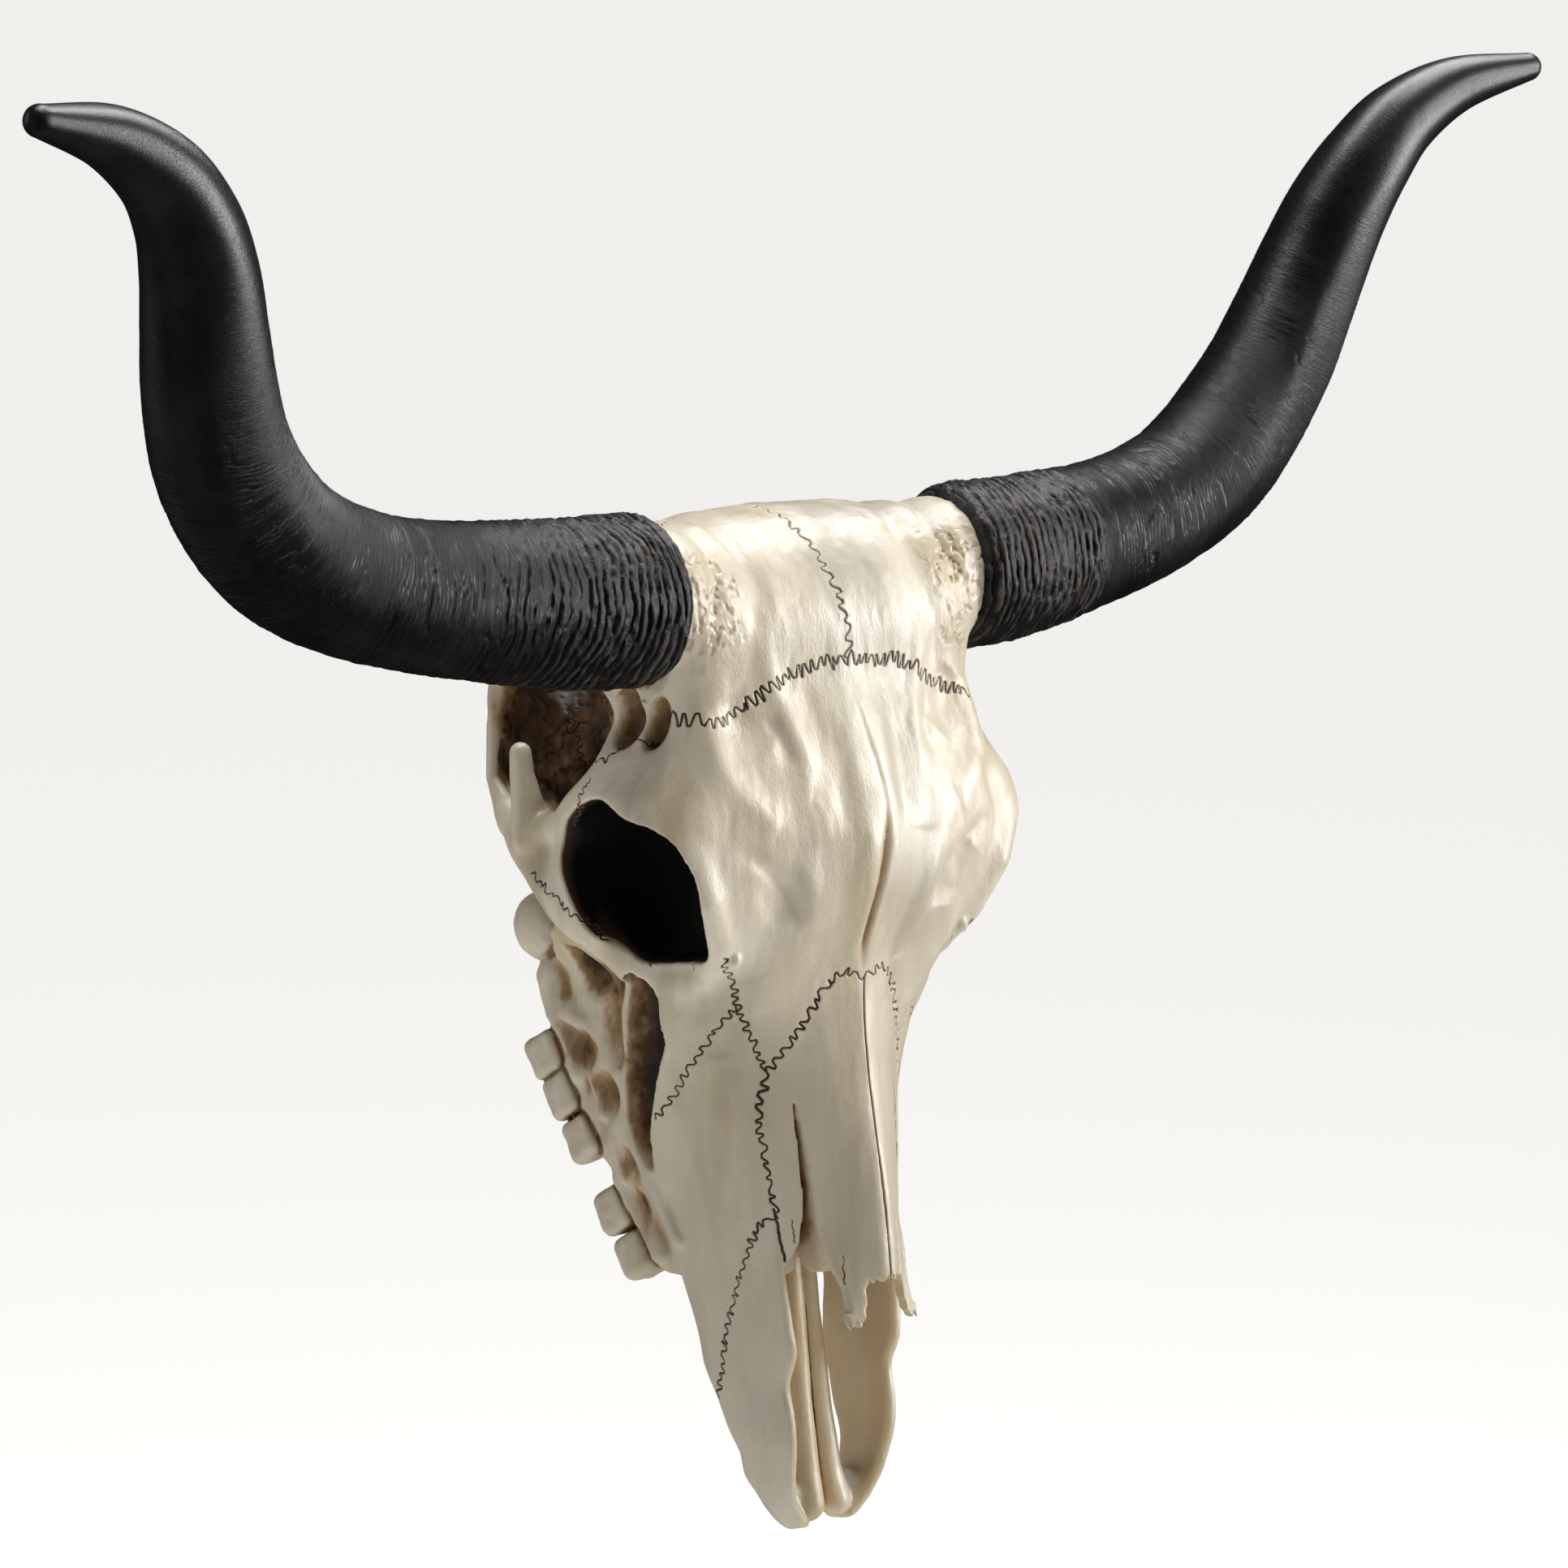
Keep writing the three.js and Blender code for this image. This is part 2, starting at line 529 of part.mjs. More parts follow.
// ---------------------------------------------------------------- fewer triangles
// Edges are merged in order of the error that each merge makes against the planes round it
class Simplifier {
  constructor({ points, faces }) {
    this.points = points;
    this.faces = faces;
    this.around = points.map(() => new Set());
    this.quadric = points.map(() => new Float64Array(10));
    this.stamp = new Uint32Array(points.length);
    this.live = faces.length;
    this.heap = [];
    faces.forEach((face, f) => {
      face.forEach((v) => this.around[v].add(f));
      this.addPlane(face);
    });
  }

  addPlane(face) {
    const [a, b, c] = face.map((v) => this.points[v]);
    const n = normalOf(a, b, c);
    const area = Math.hypot(...n) || 1e-12;
    const [x, y, z] = n.map((v) => v / area);
    const w = -(x * a[0] + y * a[1] + z * a[2]);
    const terms = [x * x, x * y, x * z, x * w, y * y, y * z, y * w, z * z, z * w, w * w];
    face.forEach((v) => terms.forEach((term, i) => {
      this.quadric[v][i] += term * area;
    }));
  }

  // The best point for a merged edge, with its error
  merged(a, b) {
    const q = this.quadric[a].map((v, i) => v + this.quadric[b][i]);
    const error = ([x, y, z]) => q[0] * x * x + 2 * q[1] * x * y + 2 * q[2] * x * z + 2 * q[3] * x
      + q[4] * y * y + 2 * q[5] * y * z + 2 * q[6] * y + q[7] * z * z + 2 * q[8] * z + q[9];
    const [pa, pb] = [this.points[a], this.points[b]];
    const middle = pa.map((v, i) => (v + pb[i]) / 2);
    const length = Math.hypot(pa[0] - pb[0], pa[1] - pb[1], pa[2] - pb[2]);
    const m = new THREE.Matrix3().set(q[0], q[1], q[2], q[1], q[4], q[5], q[2], q[5], q[7]);
    const scale = Math.cbrt(Math.abs(m.determinant())) / (q[0] + q[4] + q[7] + 1e-12);
    const choices = [middle, pa, pb];
    if (scale > 0.03) {
      const best = new THREE.Vector3(-q[3], -q[6], -q[8]).applyMatrix3(m.invert()).toArray();
      if (Math.hypot(...best.map((v, i) => v - middle[i])) < length) choices.unshift(best);
    }
    choices.sort((p, r) => error(p) - error(r));
    return { point: choices[0], cost: Math.max(error(choices[0]), 0) + 1e-4 * length * length };
  }

  push(a, b) {
    const { point, cost } = this.merged(a, b);
    const item = { a, b, point, cost, stampA: this.stamp[a], stampB: this.stamp[b] };
    const { heap } = this;
    let i = heap.length;
    heap.push(item);
    while (i > 0) {
      const parent = (i - 1) >> 1;
      if (heap[parent].cost <= item.cost) break;
      heap[i] = heap[parent];
      i = parent;
    }
    heap[i] = item;
  }

  pop() {
    const { heap } = this;
    const top = heap[0];
    const item = heap.pop();
    if (heap.length === 0) return top;
    let i = 0;
    for (;;) {
      let child = 2 * i + 1;
      if (child >= heap.length) break;
      if (child + 1 < heap.length && heap[child + 1].cost < heap[child].cost) child += 1;
      if (heap[child].cost >= item.cost) break;
      heap[i] = heap[child];
      i = child;
    }
    heap[i] = item;
    return top;
  }

  ringOf(v) {
    const ring = new Set();
    this.around[v].forEach((f) => this.faces[f].forEach((n) => ring.add(n)));
    ring.delete(v);
    return ring;
  }

  // A merge keeps the surface one closed sheet, and turns no triangle over
  allowed(a, b, point) {
    const ringB = this.ringOf(b);
    let shared = 0;
    this.ringOf(a).forEach((v) => {
      if (ringB.has(v)) shared += 1;
    });
    if (shared !== 2) return false;
    for (const [v, other] of [[a, b], [b, a]]) {
      for (const f of this.around[v]) {
        const face = this.faces[f];
        if (face.includes(other)) continue;
        const before = face.map((n) => this.points[n]);
        const after = face.map((n) => (n === v ? point : this.points[n]));
        const n0 = normalOf(...before);
        const n1 = normalOf(...after);
        const dot = n0[0] * n1[0] + n0[1] * n1[1] + n0[2] * n1[2];
        if (dot <= 0.25 * Math.hypot(...n0) * Math.hypot(...n1)) return false;
      }
    }
    return true;
  }

  merge({ a, b, point }) {
    this.points[a] = point;
    this.quadric[b].forEach((v, i) => {
      this.quadric[a][i] += v;
    });
    for (const f of [...this.around[b]]) {
      const face = this.faces[f];
      if (face.includes(a)) {
        face.forEach((v) => this.around[v].delete(f));
        this.faces[f] = null;
        this.live -= 1;
      } else {
        face[face.indexOf(b)] = a;
        this.around[a].add(f);
      }
    }
    this.around[b].clear();
    this.stamp[a] += 1;
    this.stamp[b] += 1;
    this.ringOf(a).forEach((v) => this.push(a, v));
  }

  run(target) {
    this.faces.forEach((face) => face.forEach((v, i) => {
      const next = face[(i + 1) % 3];
      if (v < next) this.push(v, next);
    }));
    while (this.live > target && this.heap.length > 0) {
      const item = this.pop();
      const fresh = this.stamp[item.a] === item.stampA && this.stamp[item.b] === item.stampB;
      if (fresh && this.allowed(item.a, item.b, item.point)) this.merge(item);
    }
    const kept = this.faces.filter((face) => face !== null);
    const renumber = new Map();
    const flat = [];
    kept.flat().forEach((v) => {
      if (!renumber.has(v)) {
        renumber.set(v, flat.length / 3);
        flat.push(...this.points[v]);
      }
    });
    return { positions: flat, indices: kept.flat().map((v) => renumber.get(v)) };
  }
}

// ---------------------------------------------------------------- solids and geometries
function toGeometry({ positions, indices }) {
  const geometry = new THREE.BufferGeometry();
  geometry.setAttribute('position', new THREE.Float32BufferAttribute(positions, 3));
  geometry.setIndex(indices);
  geometry.computeVertexNormals();
  return geometry;
}

function toSolid({ positions, indices }) {
  return new wasm.Manifold(new wasm.Mesh({
    numProp: 3,
    vertProperties: new Float32Array(positions),
    triVerts: new Uint32Array(indices),
  }));
}

function fromSolid(solid) {
  const mesh = solid.getMesh();
  return { positions: Array.from(mesh.vertProperties), indices: Array.from(mesh.triVerts) };
}

// A box-shaped block between two corners
function block(low, high) {
  const corners = CORNERS.flatMap((c) => c.map((bit, axis) => (bit ? high[axis] : low[axis])));
  const quads = [[0, 3, 2, 1], [4, 5, 6, 7], [0, 1, 5, 4], [1, 2, 6, 5], [2, 3, 7, 6], [3, 0, 4, 7]];
  return { positions: corners, indices: quads.flatMap(([a, b, c, d]) => [a, b, c, a, c, d]) };
}

// The axis as a smooth curve, with the radius as a second curve over the same stations
function hornForm() {
  const axis = new THREE.CatmullRomCurve3(HORN_AXIS.map((p) => new THREE.Vector3(p[0], p[1], p[2])));
  const girth = new THREE.CatmullRomCurve3(HORN_AXIS.map((p, i) => new THREE.Vector3(p[3], i, 0)));
  const frames = axis.computeFrenetFrames(HORN_STEPS, false);
  const positions = [];
  const indices = [];
  const ring = (centre, u, v, radius) => {
    for (let s = 0; s < HORN_SIDES; s += 1) {
      const angle = (2 * Math.PI * s) / HORN_SIDES;
      const out = u.clone().multiplyScalar(Math.cos(angle)).addScaledVector(v, Math.sin(angle));
      positions.push(...centre.clone().addScaledVector(out, radius).toArray());
    }
  };
  let rings = 0;
  for (let i = 0; i <= HORN_STEPS; i += 1) {
    const along = axis.getUtoTmapping(i / HORN_STEPS);
    const centre = axis.getPoint(along);
    const edge = THREE.MathUtils.clamp((centre.x - HORN_BASE_X) / HORN_BASE_ROUND, 0, 1);
    const rounding = 1 - 0.09 * (1 - edge) ** 2;
    ring(centre, frames.normals[i], frames.binormals[i], girth.getPoint(along).x * rounding);
    rings += 1;
  }
  const tip = axis.getPoint(1);
  const heading = frames.tangents[HORN_STEPS];
  const tipRadius = HORN_AXIS[HORN_AXIS.length - 1][3];
  for (const angle of TIP_ANGLES) {
    const a = THREE.MathUtils.degToRad(angle);
    const centre = tip.clone().addScaledVector(heading, tipRadius * Math.sin(a));
    ring(centre, frames.normals[HORN_STEPS], frames.binormals[HORN_STEPS], tipRadius * Math.cos(a));
    rings += 1;
  }
  for (let i = 0; i + 1 < rings; i += 1) {
    for (let s = 0; s < HORN_SIDES; s += 1) {
      const a = i * HORN_SIDES + s;
      const b = i * HORN_SIDES + ((s + 1) % HORN_SIDES);
      indices.push(a, b, b + HORN_SIDES, a, b + HORN_SIDES, a + HORN_SIDES);
    }
  }
  const baseMiddle = positions.length / 3;
  positions.push(...axis.getPoint(0).toArray());
  const tipMiddle = positions.length / 3;
  positions.push(...tip.clone().addScaledVector(heading, tipRadius).toArray());
  const lastRing = (rings - 1) * HORN_SIDES;
  for (let s = 0; s < HORN_SIDES; s += 1) {
    const next = (s + 1) % HORN_SIDES;
    indices.push(baseMiddle, next, s);
    indices.push(tipMiddle, lastRing + s, lastRing + next);
  }
  return { positions, indices };
}

function mirrored({ positions, indices }) {
  const flipped = positions.map((v, i) => (i % 3 === 0 ? -v : v));
  const turned = [];
  for (let i = 0; i < indices.length; i += 3) turned.push(indices[i], indices[i + 2], indices[i + 1]);
  return { positions: flipped, indices: turned };
}

// ---------------------------------------------------------------- the pieces
function craniumPiece() {
  const field = new BoneField();
  addFace(field);
  addCranium(field);
  carveTemples(field);
  addArch(field);
  addOrbit(field);
  addJaw(field);
  carveNose(field);
  addNasals(field);
  addPremaxilla(field);
  addTeeth(field);
  modelFace(field);
  closeEnds(field);
  const bone = toSolid(new Simplifier(extractSurface(field)).run(SKULL_TRIANGLES));
  const wallSide = toSolid(block([-BEYOND, WALL, -2 * BEYOND], [BEYOND, WALL + BEYOND, BEYOND]));
  const seat = (side) => {
    const xs = [side * (HORN_BASE_X - GAP), side * BEYOND].sort((a, b) => a - b);
    return toSolid(block([xs[0], -SEAT.reach, SEAT.z], [xs[1], SEAT.reach, BEYOND]));
  };
  const plateHollow = toSolid(block(
    [-PLATE.width / 2 - GAP, WALL - PLATE.thick - GAP, PLATE.z - PLATE.height / 2 - GAP],
    [PLATE.width / 2 + GAP, WALL + 1, PLATE.z + PLATE.height / 2 + GAP],
  ));
  const pocket = toSolid(block(
    [-POCKET.width / 2, WALL - POCKET.depth, PLATE.z - POCKET.height / 2],
    [POCKET.width / 2, WALL + 1, PLATE.z + POCKET.height / 2],
  ));
  const cuts = [wallSide, seat(1), seat(-1), plateHollow, pocket];
  return fromSolid(cuts.reduce((solid, cut) => solid.subtract(cut), bone));
}

function hangerGeometry() {
  const outline = new THREE.Shape();
  outline.moveTo(-PLATE.width / 2, -PLATE.height / 2);
  outline.lineTo(PLATE.width / 2, -PLATE.height / 2);
  outline.lineTo(PLATE.width / 2, PLATE.height / 2);
  outline.lineTo(-PLATE.width / 2, PLATE.height / 2);
  const low = KEYHOLE.z - PLATE.z;
  const meet = Math.acos(KEYHOLE.slot / KEYHOLE.entry);
  const hole = new THREE.Path();
  hole.absarc(0, low, KEYHOLE.entry, meet, Math.PI - meet, true);
  hole.absarc(0, low + KEYHOLE.rise, KEYHOLE.slot, Math.PI, 0, true);
  outline.holes.push(hole);
  const geometry = new THREE.ExtrudeGeometry(outline, {
    depth: PLATE.thick,
    bevelEnabled: false,
    curveSegments: 14,
  });
  geometry.rotateX(Math.PI / 2);
  geometry.translate(0, WALL, PLATE.z);
  return geometry;
}

function named(name, geometry, finish) {
  const mesh = new THREE.Mesh(geometry, new THREE.MeshStandardMaterial(finish));
  mesh.name = name;
  return mesh;
}

const seatSide = toSolid(block([0, -BEYOND, 0], [HORN_BASE_X, BEYOND, BEYOND]));
const horn = fromSolid(toSolid(hornForm()).subtract(seatSide));
const skull = new THREE.Group();
skull.position.set(0, -WALL, 0);
skull.add(named('cranium', toGeometry(craniumPiece()), BONE));
skull.add(named('horn_left', toGeometry(horn), HORN));
skull.add(named('horn_right', toGeometry(mirrored(horn)), HORN));
skull.add(named('hanger_plate', hangerGeometry(), STEEL));

export default skull;
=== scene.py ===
import math
import bpy
import bmesh
import numpy as np
from mathutils import Matrix, Vector
from mathutils.kdtree import KDTree


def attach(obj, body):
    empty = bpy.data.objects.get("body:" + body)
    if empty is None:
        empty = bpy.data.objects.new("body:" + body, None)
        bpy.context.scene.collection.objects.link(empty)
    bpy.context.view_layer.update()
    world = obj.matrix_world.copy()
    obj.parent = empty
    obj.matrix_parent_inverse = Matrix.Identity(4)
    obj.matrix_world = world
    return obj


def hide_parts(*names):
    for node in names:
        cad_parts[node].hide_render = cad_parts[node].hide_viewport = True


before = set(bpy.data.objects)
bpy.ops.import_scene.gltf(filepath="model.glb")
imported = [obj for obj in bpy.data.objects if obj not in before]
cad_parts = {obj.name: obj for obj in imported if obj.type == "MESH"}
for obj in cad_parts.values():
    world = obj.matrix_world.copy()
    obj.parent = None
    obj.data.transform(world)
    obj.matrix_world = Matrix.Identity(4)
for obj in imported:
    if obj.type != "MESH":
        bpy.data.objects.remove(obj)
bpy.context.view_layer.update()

# ------------------------------------------------------------------ named sizes, millimetres
# The skull is worked out in millimetres on its own datum: X across the face, Y into the wall,
# Z up. The wall plane is at WALL, and the row's origin is on it.
WALL = 150.0
VOXEL = 1.35                   # grid step of the bone's form
HORN_SEAT = 96.7               # flat on the bone under each horn
HORN_BASE = HORN_SEAT + 0.3    # flat end of the horn, across a gap
GRID_LOW = (0.0, -92.0, -388.0)
GRID_HIGH = (122.0, 154.0, 146.0)
MM = 0.001
SEED = 7
F4 = np.float32

# Face and forehead: z, ridge y, shoulder x y, edge x y, tooth root x y, rear y
SHELL = [
    (-250, -80, 27, -38, 40, 22, 40, 30, 36),
    (-236, -78, 31, -37, 45, 26, 45, 38, 45),
    (-220, -75, 35, -35, 51, 30, 50, 46, 56),
    (-190, -70, 39.5, -32, 63, 26, 55, 66, 76),
    (-160, -64, 41, -31, 70.5, 14, 56, 84, 94),
    (-130, -58, 42, -31, 76.5, 4, 56, 96, 106),
    (-100, -55, 50, -37, 82, -6, 58, 100, 112),
    (-80, -56, 64, -42, 84, 0, 80, 52, 90),
    (-60, -62, 80, -46, 90, -16, 90, 45, 60),
    (-40, -67, 94, -49, 104, -32, 98, 45, 54),
    (-20, -68, 100, -49, 111, -34, 100, 45, 52),
    (0, -64, 95, -48, 110, -28, 100, 45, 52),
    (20, -58, 84, -42, 99, -16, 92, 45, 54),
    (40, -50, 78, -36, 88, -10, 82, 45, 56),
    (60, -41, 76, -33, 89, -8, 82, 45, 58),
    (90, -36, 76, -33, 92, -6, 84, 45, 60),
    (110, -27, 76, -26, 92, 0, 84, 45, 60),
]
# Premaxilla blades: z, front edge x y, middle x y, rear edge x y
BLADE = [
    (-371, 16, -34, 20, -27, 18, -20),
    (-358, 27, -36.5, 31, -25, 28, -13),
    (-346, 31, -40, 35.5, -23, 34, -7),
    (-335, 33, -42, 38, -22, 36, -5),
    (-322, 34.5, -44, 40.5, -20, 38, 2),
    (-307, 35, -42.5, 41.5, -17, 40, 8.5),
    (-294, 35.6, -39.5, 42.5, -13, 42, 15),
    (-277, 36, -45, 43.5, -12, 44, 18),
    (-262, 37.5, -43.5, 45, -10, 47, 21),
    (-245, 38.7, -41, 46.7, -8, 50.5, 25),
    (-230, 39.2, -38.5, 48, -8, 54.5, 28),
    (-205, 40.2, -34, 51, -6, 61, 29),
    (-185, 40.2, -31, 53, -2, 65, 26),
]
BLADE_HALF = 3.2
# Nasal bones: z, ridge y, outer edge x y
NASAL = [
    (-262, -79.2, 17.5, -75),
    (-245, -78.2, 20, -67),
    (-225, -76.5, 23.5, -57),
    (-205, -73, 26.5, -47),
    (-180, -67.5, 29, -43),
    (-150, -62.5, 30, -39),
]
NASAL_HALF = 2.8
# Upper cheek teeth: middle of each outer face
TEETH = [(71, 111, -147), (70, 97.5, -165), (69, 83, -185), (61.5, 67, -220), (59, 53, -241)]
TOOTH_LEAN = math.radians(32)
TOOTH_HALF = (4.6, 7.3, 6.2)
TOOTH_ROUND = 5.4
SEAM_WIDTH = 1.5
# Recesses for the hanger behind: half width, half height, middle height, depth
RECESSES = [(13.3, 23.3, 30, 2.3), (10, 17, 30, 14)]
# Openings in the side of the skull, as smooth closed curves through points y, z
ORBIT = [(14, -4), (-8, -11), (-36, -15), (-47, -34), (-44, -58), (-36, -76), (-10, -80), (8, -79),
         (26, -66), (39, -46), (43, -26), (32, -10)]
FOSSA = [(104, 54), (66, 62), (42, 56), (31, 40), (32, 18), (41, 6), (57, -7), (71, -17), (80, -18),
         (87, -6), (99, -1), (107, -1), (110, 8), (110, 30)]


# ------------------------------------------------------------------ small maths
def smooth_min(a, b, k):
    h = np.clip(0.5 + 0.5 * (b - a) / k, 0, 1)
    return b + (a - b) * h - k * h * (1 - h)


def smooth_max(a, b, k):
    return -smooth_min(-a, -b, k)


def fade(low, high, v):
    t = np.clip((v - low) / (high - low), 0, 1)
    return t * t * (3 - 2 * t)


def unit(v):
    return v / (np.linalg.norm(v, axis=-1, keepdims=True) + 1e-9)


def station(table, column, z):
    """One column of a station table at heights z, as a smooth curve through the stations."""
    rows = np.array(table, float)
    x, y = rows[:, 0], rows[:, column]
    dx = np.diff(x)
    m = np.diff(y) / dx
    t = np.empty(len(x))
    t[1:-1] = (m[:-1] * dx[1:] + m[1:] * dx[:-1]) / (dx[:-1] + dx[1:])
    t[0], t[-1] = m[0], m[-1]
    z = np.clip(z, x[0], x[-1])
    i = np.clip(np.searchsorted(x, z) - 1, 0, len(x) - 2)
    u = (z - x[i]) / dx[i]
    ends = (1 + 2 * u) * (1 - u) ** 2 * y[i] + u * u * (3 - 2 * u) * y[i + 1]
    return (ends + u * (1 - u) * dx[i] * ((1 - u) * t[i] - u * t[i + 1])).astype(F4)


def outside_line(x, y, ax, ay, bx, by):
    ex, ey = bx - ax, by - ay
    return ((x - ax) * ey - (y - ay) * ex) / np.sqrt(ex * ex + ey * ey)


def catmull_point(a, b, c, d, t):
    """Point at t in 0..1 between b and c, on the smooth curve through a, b, c and d."""
    bend, twist = 2 * a - 5 * b + 4 * c - d, 3 * b - a - 3 * c + d
    return 0.5 * (2 * b + (c - a) * t + bend * t ** 2 + twist * t ** 3)


def to_outline(u, v, corners, parts=5):
    """Signed distance in the plane to a smooth closed curve through corners, negative inside."""
    outline = []
    for i in range(len(corners)):
        a, b, c, d = (np.array(corners[(i + j) % len(corners)], float) for j in (-1, 0, 1, 2))
        for t in np.arange(parts) / parts:
            outline.append(tuple(catmull_point(a, b, c, d, t)))
    near = 1e6
    inside = np.zeros(np.broadcast(u, v).shape, bool)
    for (au, av), (bu, bv) in zip(outline, outline[1:] + outline[:1]):
        near = np.minimum(near, to_segment(u, v, au, av, bu, bv))
        if av != bv:
            inside ^= ((av > v) != (bv > v)) & (u < (bu - au) * (v - av) / (bv - av) + au)
    return np.where(inside, -near, near).astype(F4)


def round_off(points, passes=3):
    """Corner cutting, which keeps the ends."""
    for _ in range(passes):
        a, b = points[:-1], points[1:]
        cut = np.stack([0.75 * a + 0.25 * b, 0.25 * a + 0.75 * b], 1).reshape(-1, points.shape[1])
        points = np.concatenate([points[:1], cut[1:-1], points[-1:]])
    return points


def to_segment(x, y, ax, ay, bx, by):
    ex, ey = bx - ax, by - ay
    t = np.clip(((x - ax) * ex + (y - ay) * ey) / (ex * ex + ey * ey), 0, 1)
    return np.sqrt((x - ax - t * ex) ** 2 + (y - ay - t * ey) ** 2)


def value_noise(p, seed=0):
    """Smooth noise in -1..1 at points p, one lattice step apart."""
    cell = np.floor(p).astype(np.int64)
    u = p - cell
    u = u * u * (3 - 2 * u)
    total = np.zeros(p.shape[:-1])
    for corner in range(8):
        bits = np.array([corner & 1, corner >> 1 & 1, corner >> 2 & 1])
        q = cell + bits
        n = q[..., 0] * 374761393 + q[..., 1] * 668265263 + q[..., 2] * 2147483647 + seed * 974634777
        n = (n ^ (n >> 13)) * 1274126177
        value = ((n ^ (n >> 16)) & 0xFFFF) / 32767.5 - 1
        total += value * np.prod(np.where(bits, u, 1 - u), axis=-1)
    return total


def fractal(p, octaves=3, seed=0):
    return sum(value_noise(p * 2.0 ** i, seed + i) * 0.5 ** i for i in range(octaves))


# ------------------------------------------------------------------ field of distances
class BoneField:
    """Distance to the bone on a grid over its x >= 0 half; the other half mirrors it.

    uncut is the same without the carved hollows, which tells how deep a hollow is.
    """

    def __init__(self):
        self.axes = [np.arange(a, b + VOXEL, VOXEL, dtype=F4) for a, b in zip(GRID_LOW, GRID_HIGH)]
        self.value = np.full([len(a) for a in self.axes], 1000, F4)
        self.uncut = self.value.copy()

    def window(self, low, high, k):
        spans = []
        for axis, a, b in zip(self.axes, low, high):
            i = max(int(np.searchsorted(axis, a - 3 * k - 8)) - 1, 0)
            j = min(int(np.searchsorted(axis, b + 3 * k + 8)) + 1, len(axis))
            spans.append(slice(i, max(j, i + 1)))
        x, y, z = (axis[s] for axis, s in zip(self.axes, spans))
        return tuple(spans), x[:, None, None], y[None, :, None], z[None, None, :]

    def blend(self, spans, distance, k, carve=False):
        if carve:
            self.value[spans] = smooth_max(self.value[spans], -distance, k)
            return
        self.value[spans] = smooth_min(self.value[spans], distance, k)
        self.uncut[spans] = smooth_min(self.uncut[spans], distance, k)

    def lump(self, c, r, k, lean=0, turn=0, carve=False):
        """Ellipsoid of half sizes r at c, leaning about X and turned about Z, in degrees."""
        reach = max(r)
        spans, x, y, z = self.window([v - reach for v in c], [v + reach for v in c], k)
        a, b = math.radians(lean), math.radians(turn)
        x, y, z = x - c[0], y - c[1], z - c[2]
        x, y = x * math.cos(b) + y * math.sin(b), y * math.cos(b) - x * math.sin(b)
        y, z = y * math.cos(a) + z * math.sin(a), z * math.cos(a) - y * math.sin(a)
        near = np.sqrt((x / r[0]) ** 2 + (y / r[1]) ** 2 + (z / r[2]) ** 2) + 1e-4
        fall = np.sqrt((x / r[0] ** 2) ** 2 + (y / r[1] ** 2) ** 2 + (z / r[2] ** 2) ** 2) + 1e-6
        self.blend(spans, near * (near - 1) / fall, k, carve)

    def limb(self, points, k, carve=False):
        """Chain of round links through points (x, y, z, radius)."""
        p = np.array(points, F4)
        reach = p[:, 3].max()
        spans, x, y, z = self.window(p[:, :3].min(0) - reach, p[:, :3].max(0) + reach, k)
        best = None
        for a, b in zip(p[:-1], p[1:]):
            ab = b[:3] - a[:3]
            t = ((x - a[0]) * ab[0] + (y - a[1]) * ab[1] + (z - a[2]) * ab[2]) / float(ab @ ab)
            t = np.clip(t, 0, 1)
            gap = (x - a[0] - t * ab[0]) ** 2 + (y - a[1] - t * ab[1]) ** 2 + (z - a[2] - t * ab[2]) ** 2
            link = np.sqrt(gap) - (a[3] + t * (b[3] - a[3]))
            best = link if best is None else np.minimum(best, link)
        self.blend(spans, best, k, carve)

    def window_cut(self, outline, deep, high, taper, rim, k, floor_k, floor_rise=0.0):
        """Hole with the outline at x = rim, narrowing by taper inwards, with its floor at x = deep."""
        u = [p[0] for p in outline]
        v = [p[1] for p in outline]
        spans, x, y, z = self.window((deep, min(u), min(v)), (high, max(u), max(v)), k)
        d = to_outline(y, z, outline) + taper * (rim - x) - 1.5
        floor = deep + floor_rise * (y - min(u)) - x
        self.blend(spans, smooth_max(d, floor + 0 * d, floor_k), k, carve=True)

    def rows(self, table, spans):
        z = self.axes[2][spans[2]]
        return [station(table, c, z)[None, None, :] for c in range(1, len(table[0]))]


# ------------------------------------------------------------------ the bone's features
def add_face(field):
    spans, x, y, z = field.window((0, -92, -250), (126, 125, 112), 0)
    ridge, sx, sy, ex, ey, rx, ry, rear = field.rows(SHELL, spans)
    across = np.sqrt(x * x + 64) - 8
    d = outside_line(across, y, 0, ridge, sx, sy)
    d = smooth_max(d, outside_line(across, y, sx, sy, ex, ey), 9)
    d = smooth_max(d, outside_line(across, y, ex, ey, rx, ry), 6)
    d = smooth_max(d, y - rear, 10)
    d = smooth_max(d, z - 104 + 0 * x, 30)
    field.blend(spans, smooth_max(d, -250 + 0.2 * (24 - y) - z, 9), 0.1)


def add_cranium(field):
    field.limb([(0, 22, 80, 57), (40, 19, 82, 54), (68, 13, 87, 47), (92, 4, 97, 38),
                (112, 0, 101, 35)], 14)
    field.lump((0, 62, 32), (62, 58, 66), 16)
    field.lump((46, 112, 30), (56, 13, 46), 10, lean=-14)
    field.limb([(0, 92, -10, 42), (0, 96, -60, 36), (0, 88, -118, 34)], 16)
    field.limb([(44, 100, 14, 26), (50, 108, -20, 22), (46, 104, -60, 18)], 12)
    field.lump((24, 126, 52), (20, 24, 26), 10)
    field.lump((0, 122, 12), (42, 38, 62), 14)


def carve_temples(field):
    field.window_cut(FOSSA, 64, 110, 0.1, 98, 6, 16, 0.16)
    field.lump((98, 11, 41), (13, 11, 16), 3, lean=14, carve=True)
    field.lump((97, -11, 41), (12, 8, 14), 3, lean=14, carve=True)
    field.lump((84, 50, 50), (10, 12, 14), 5, carve=True)


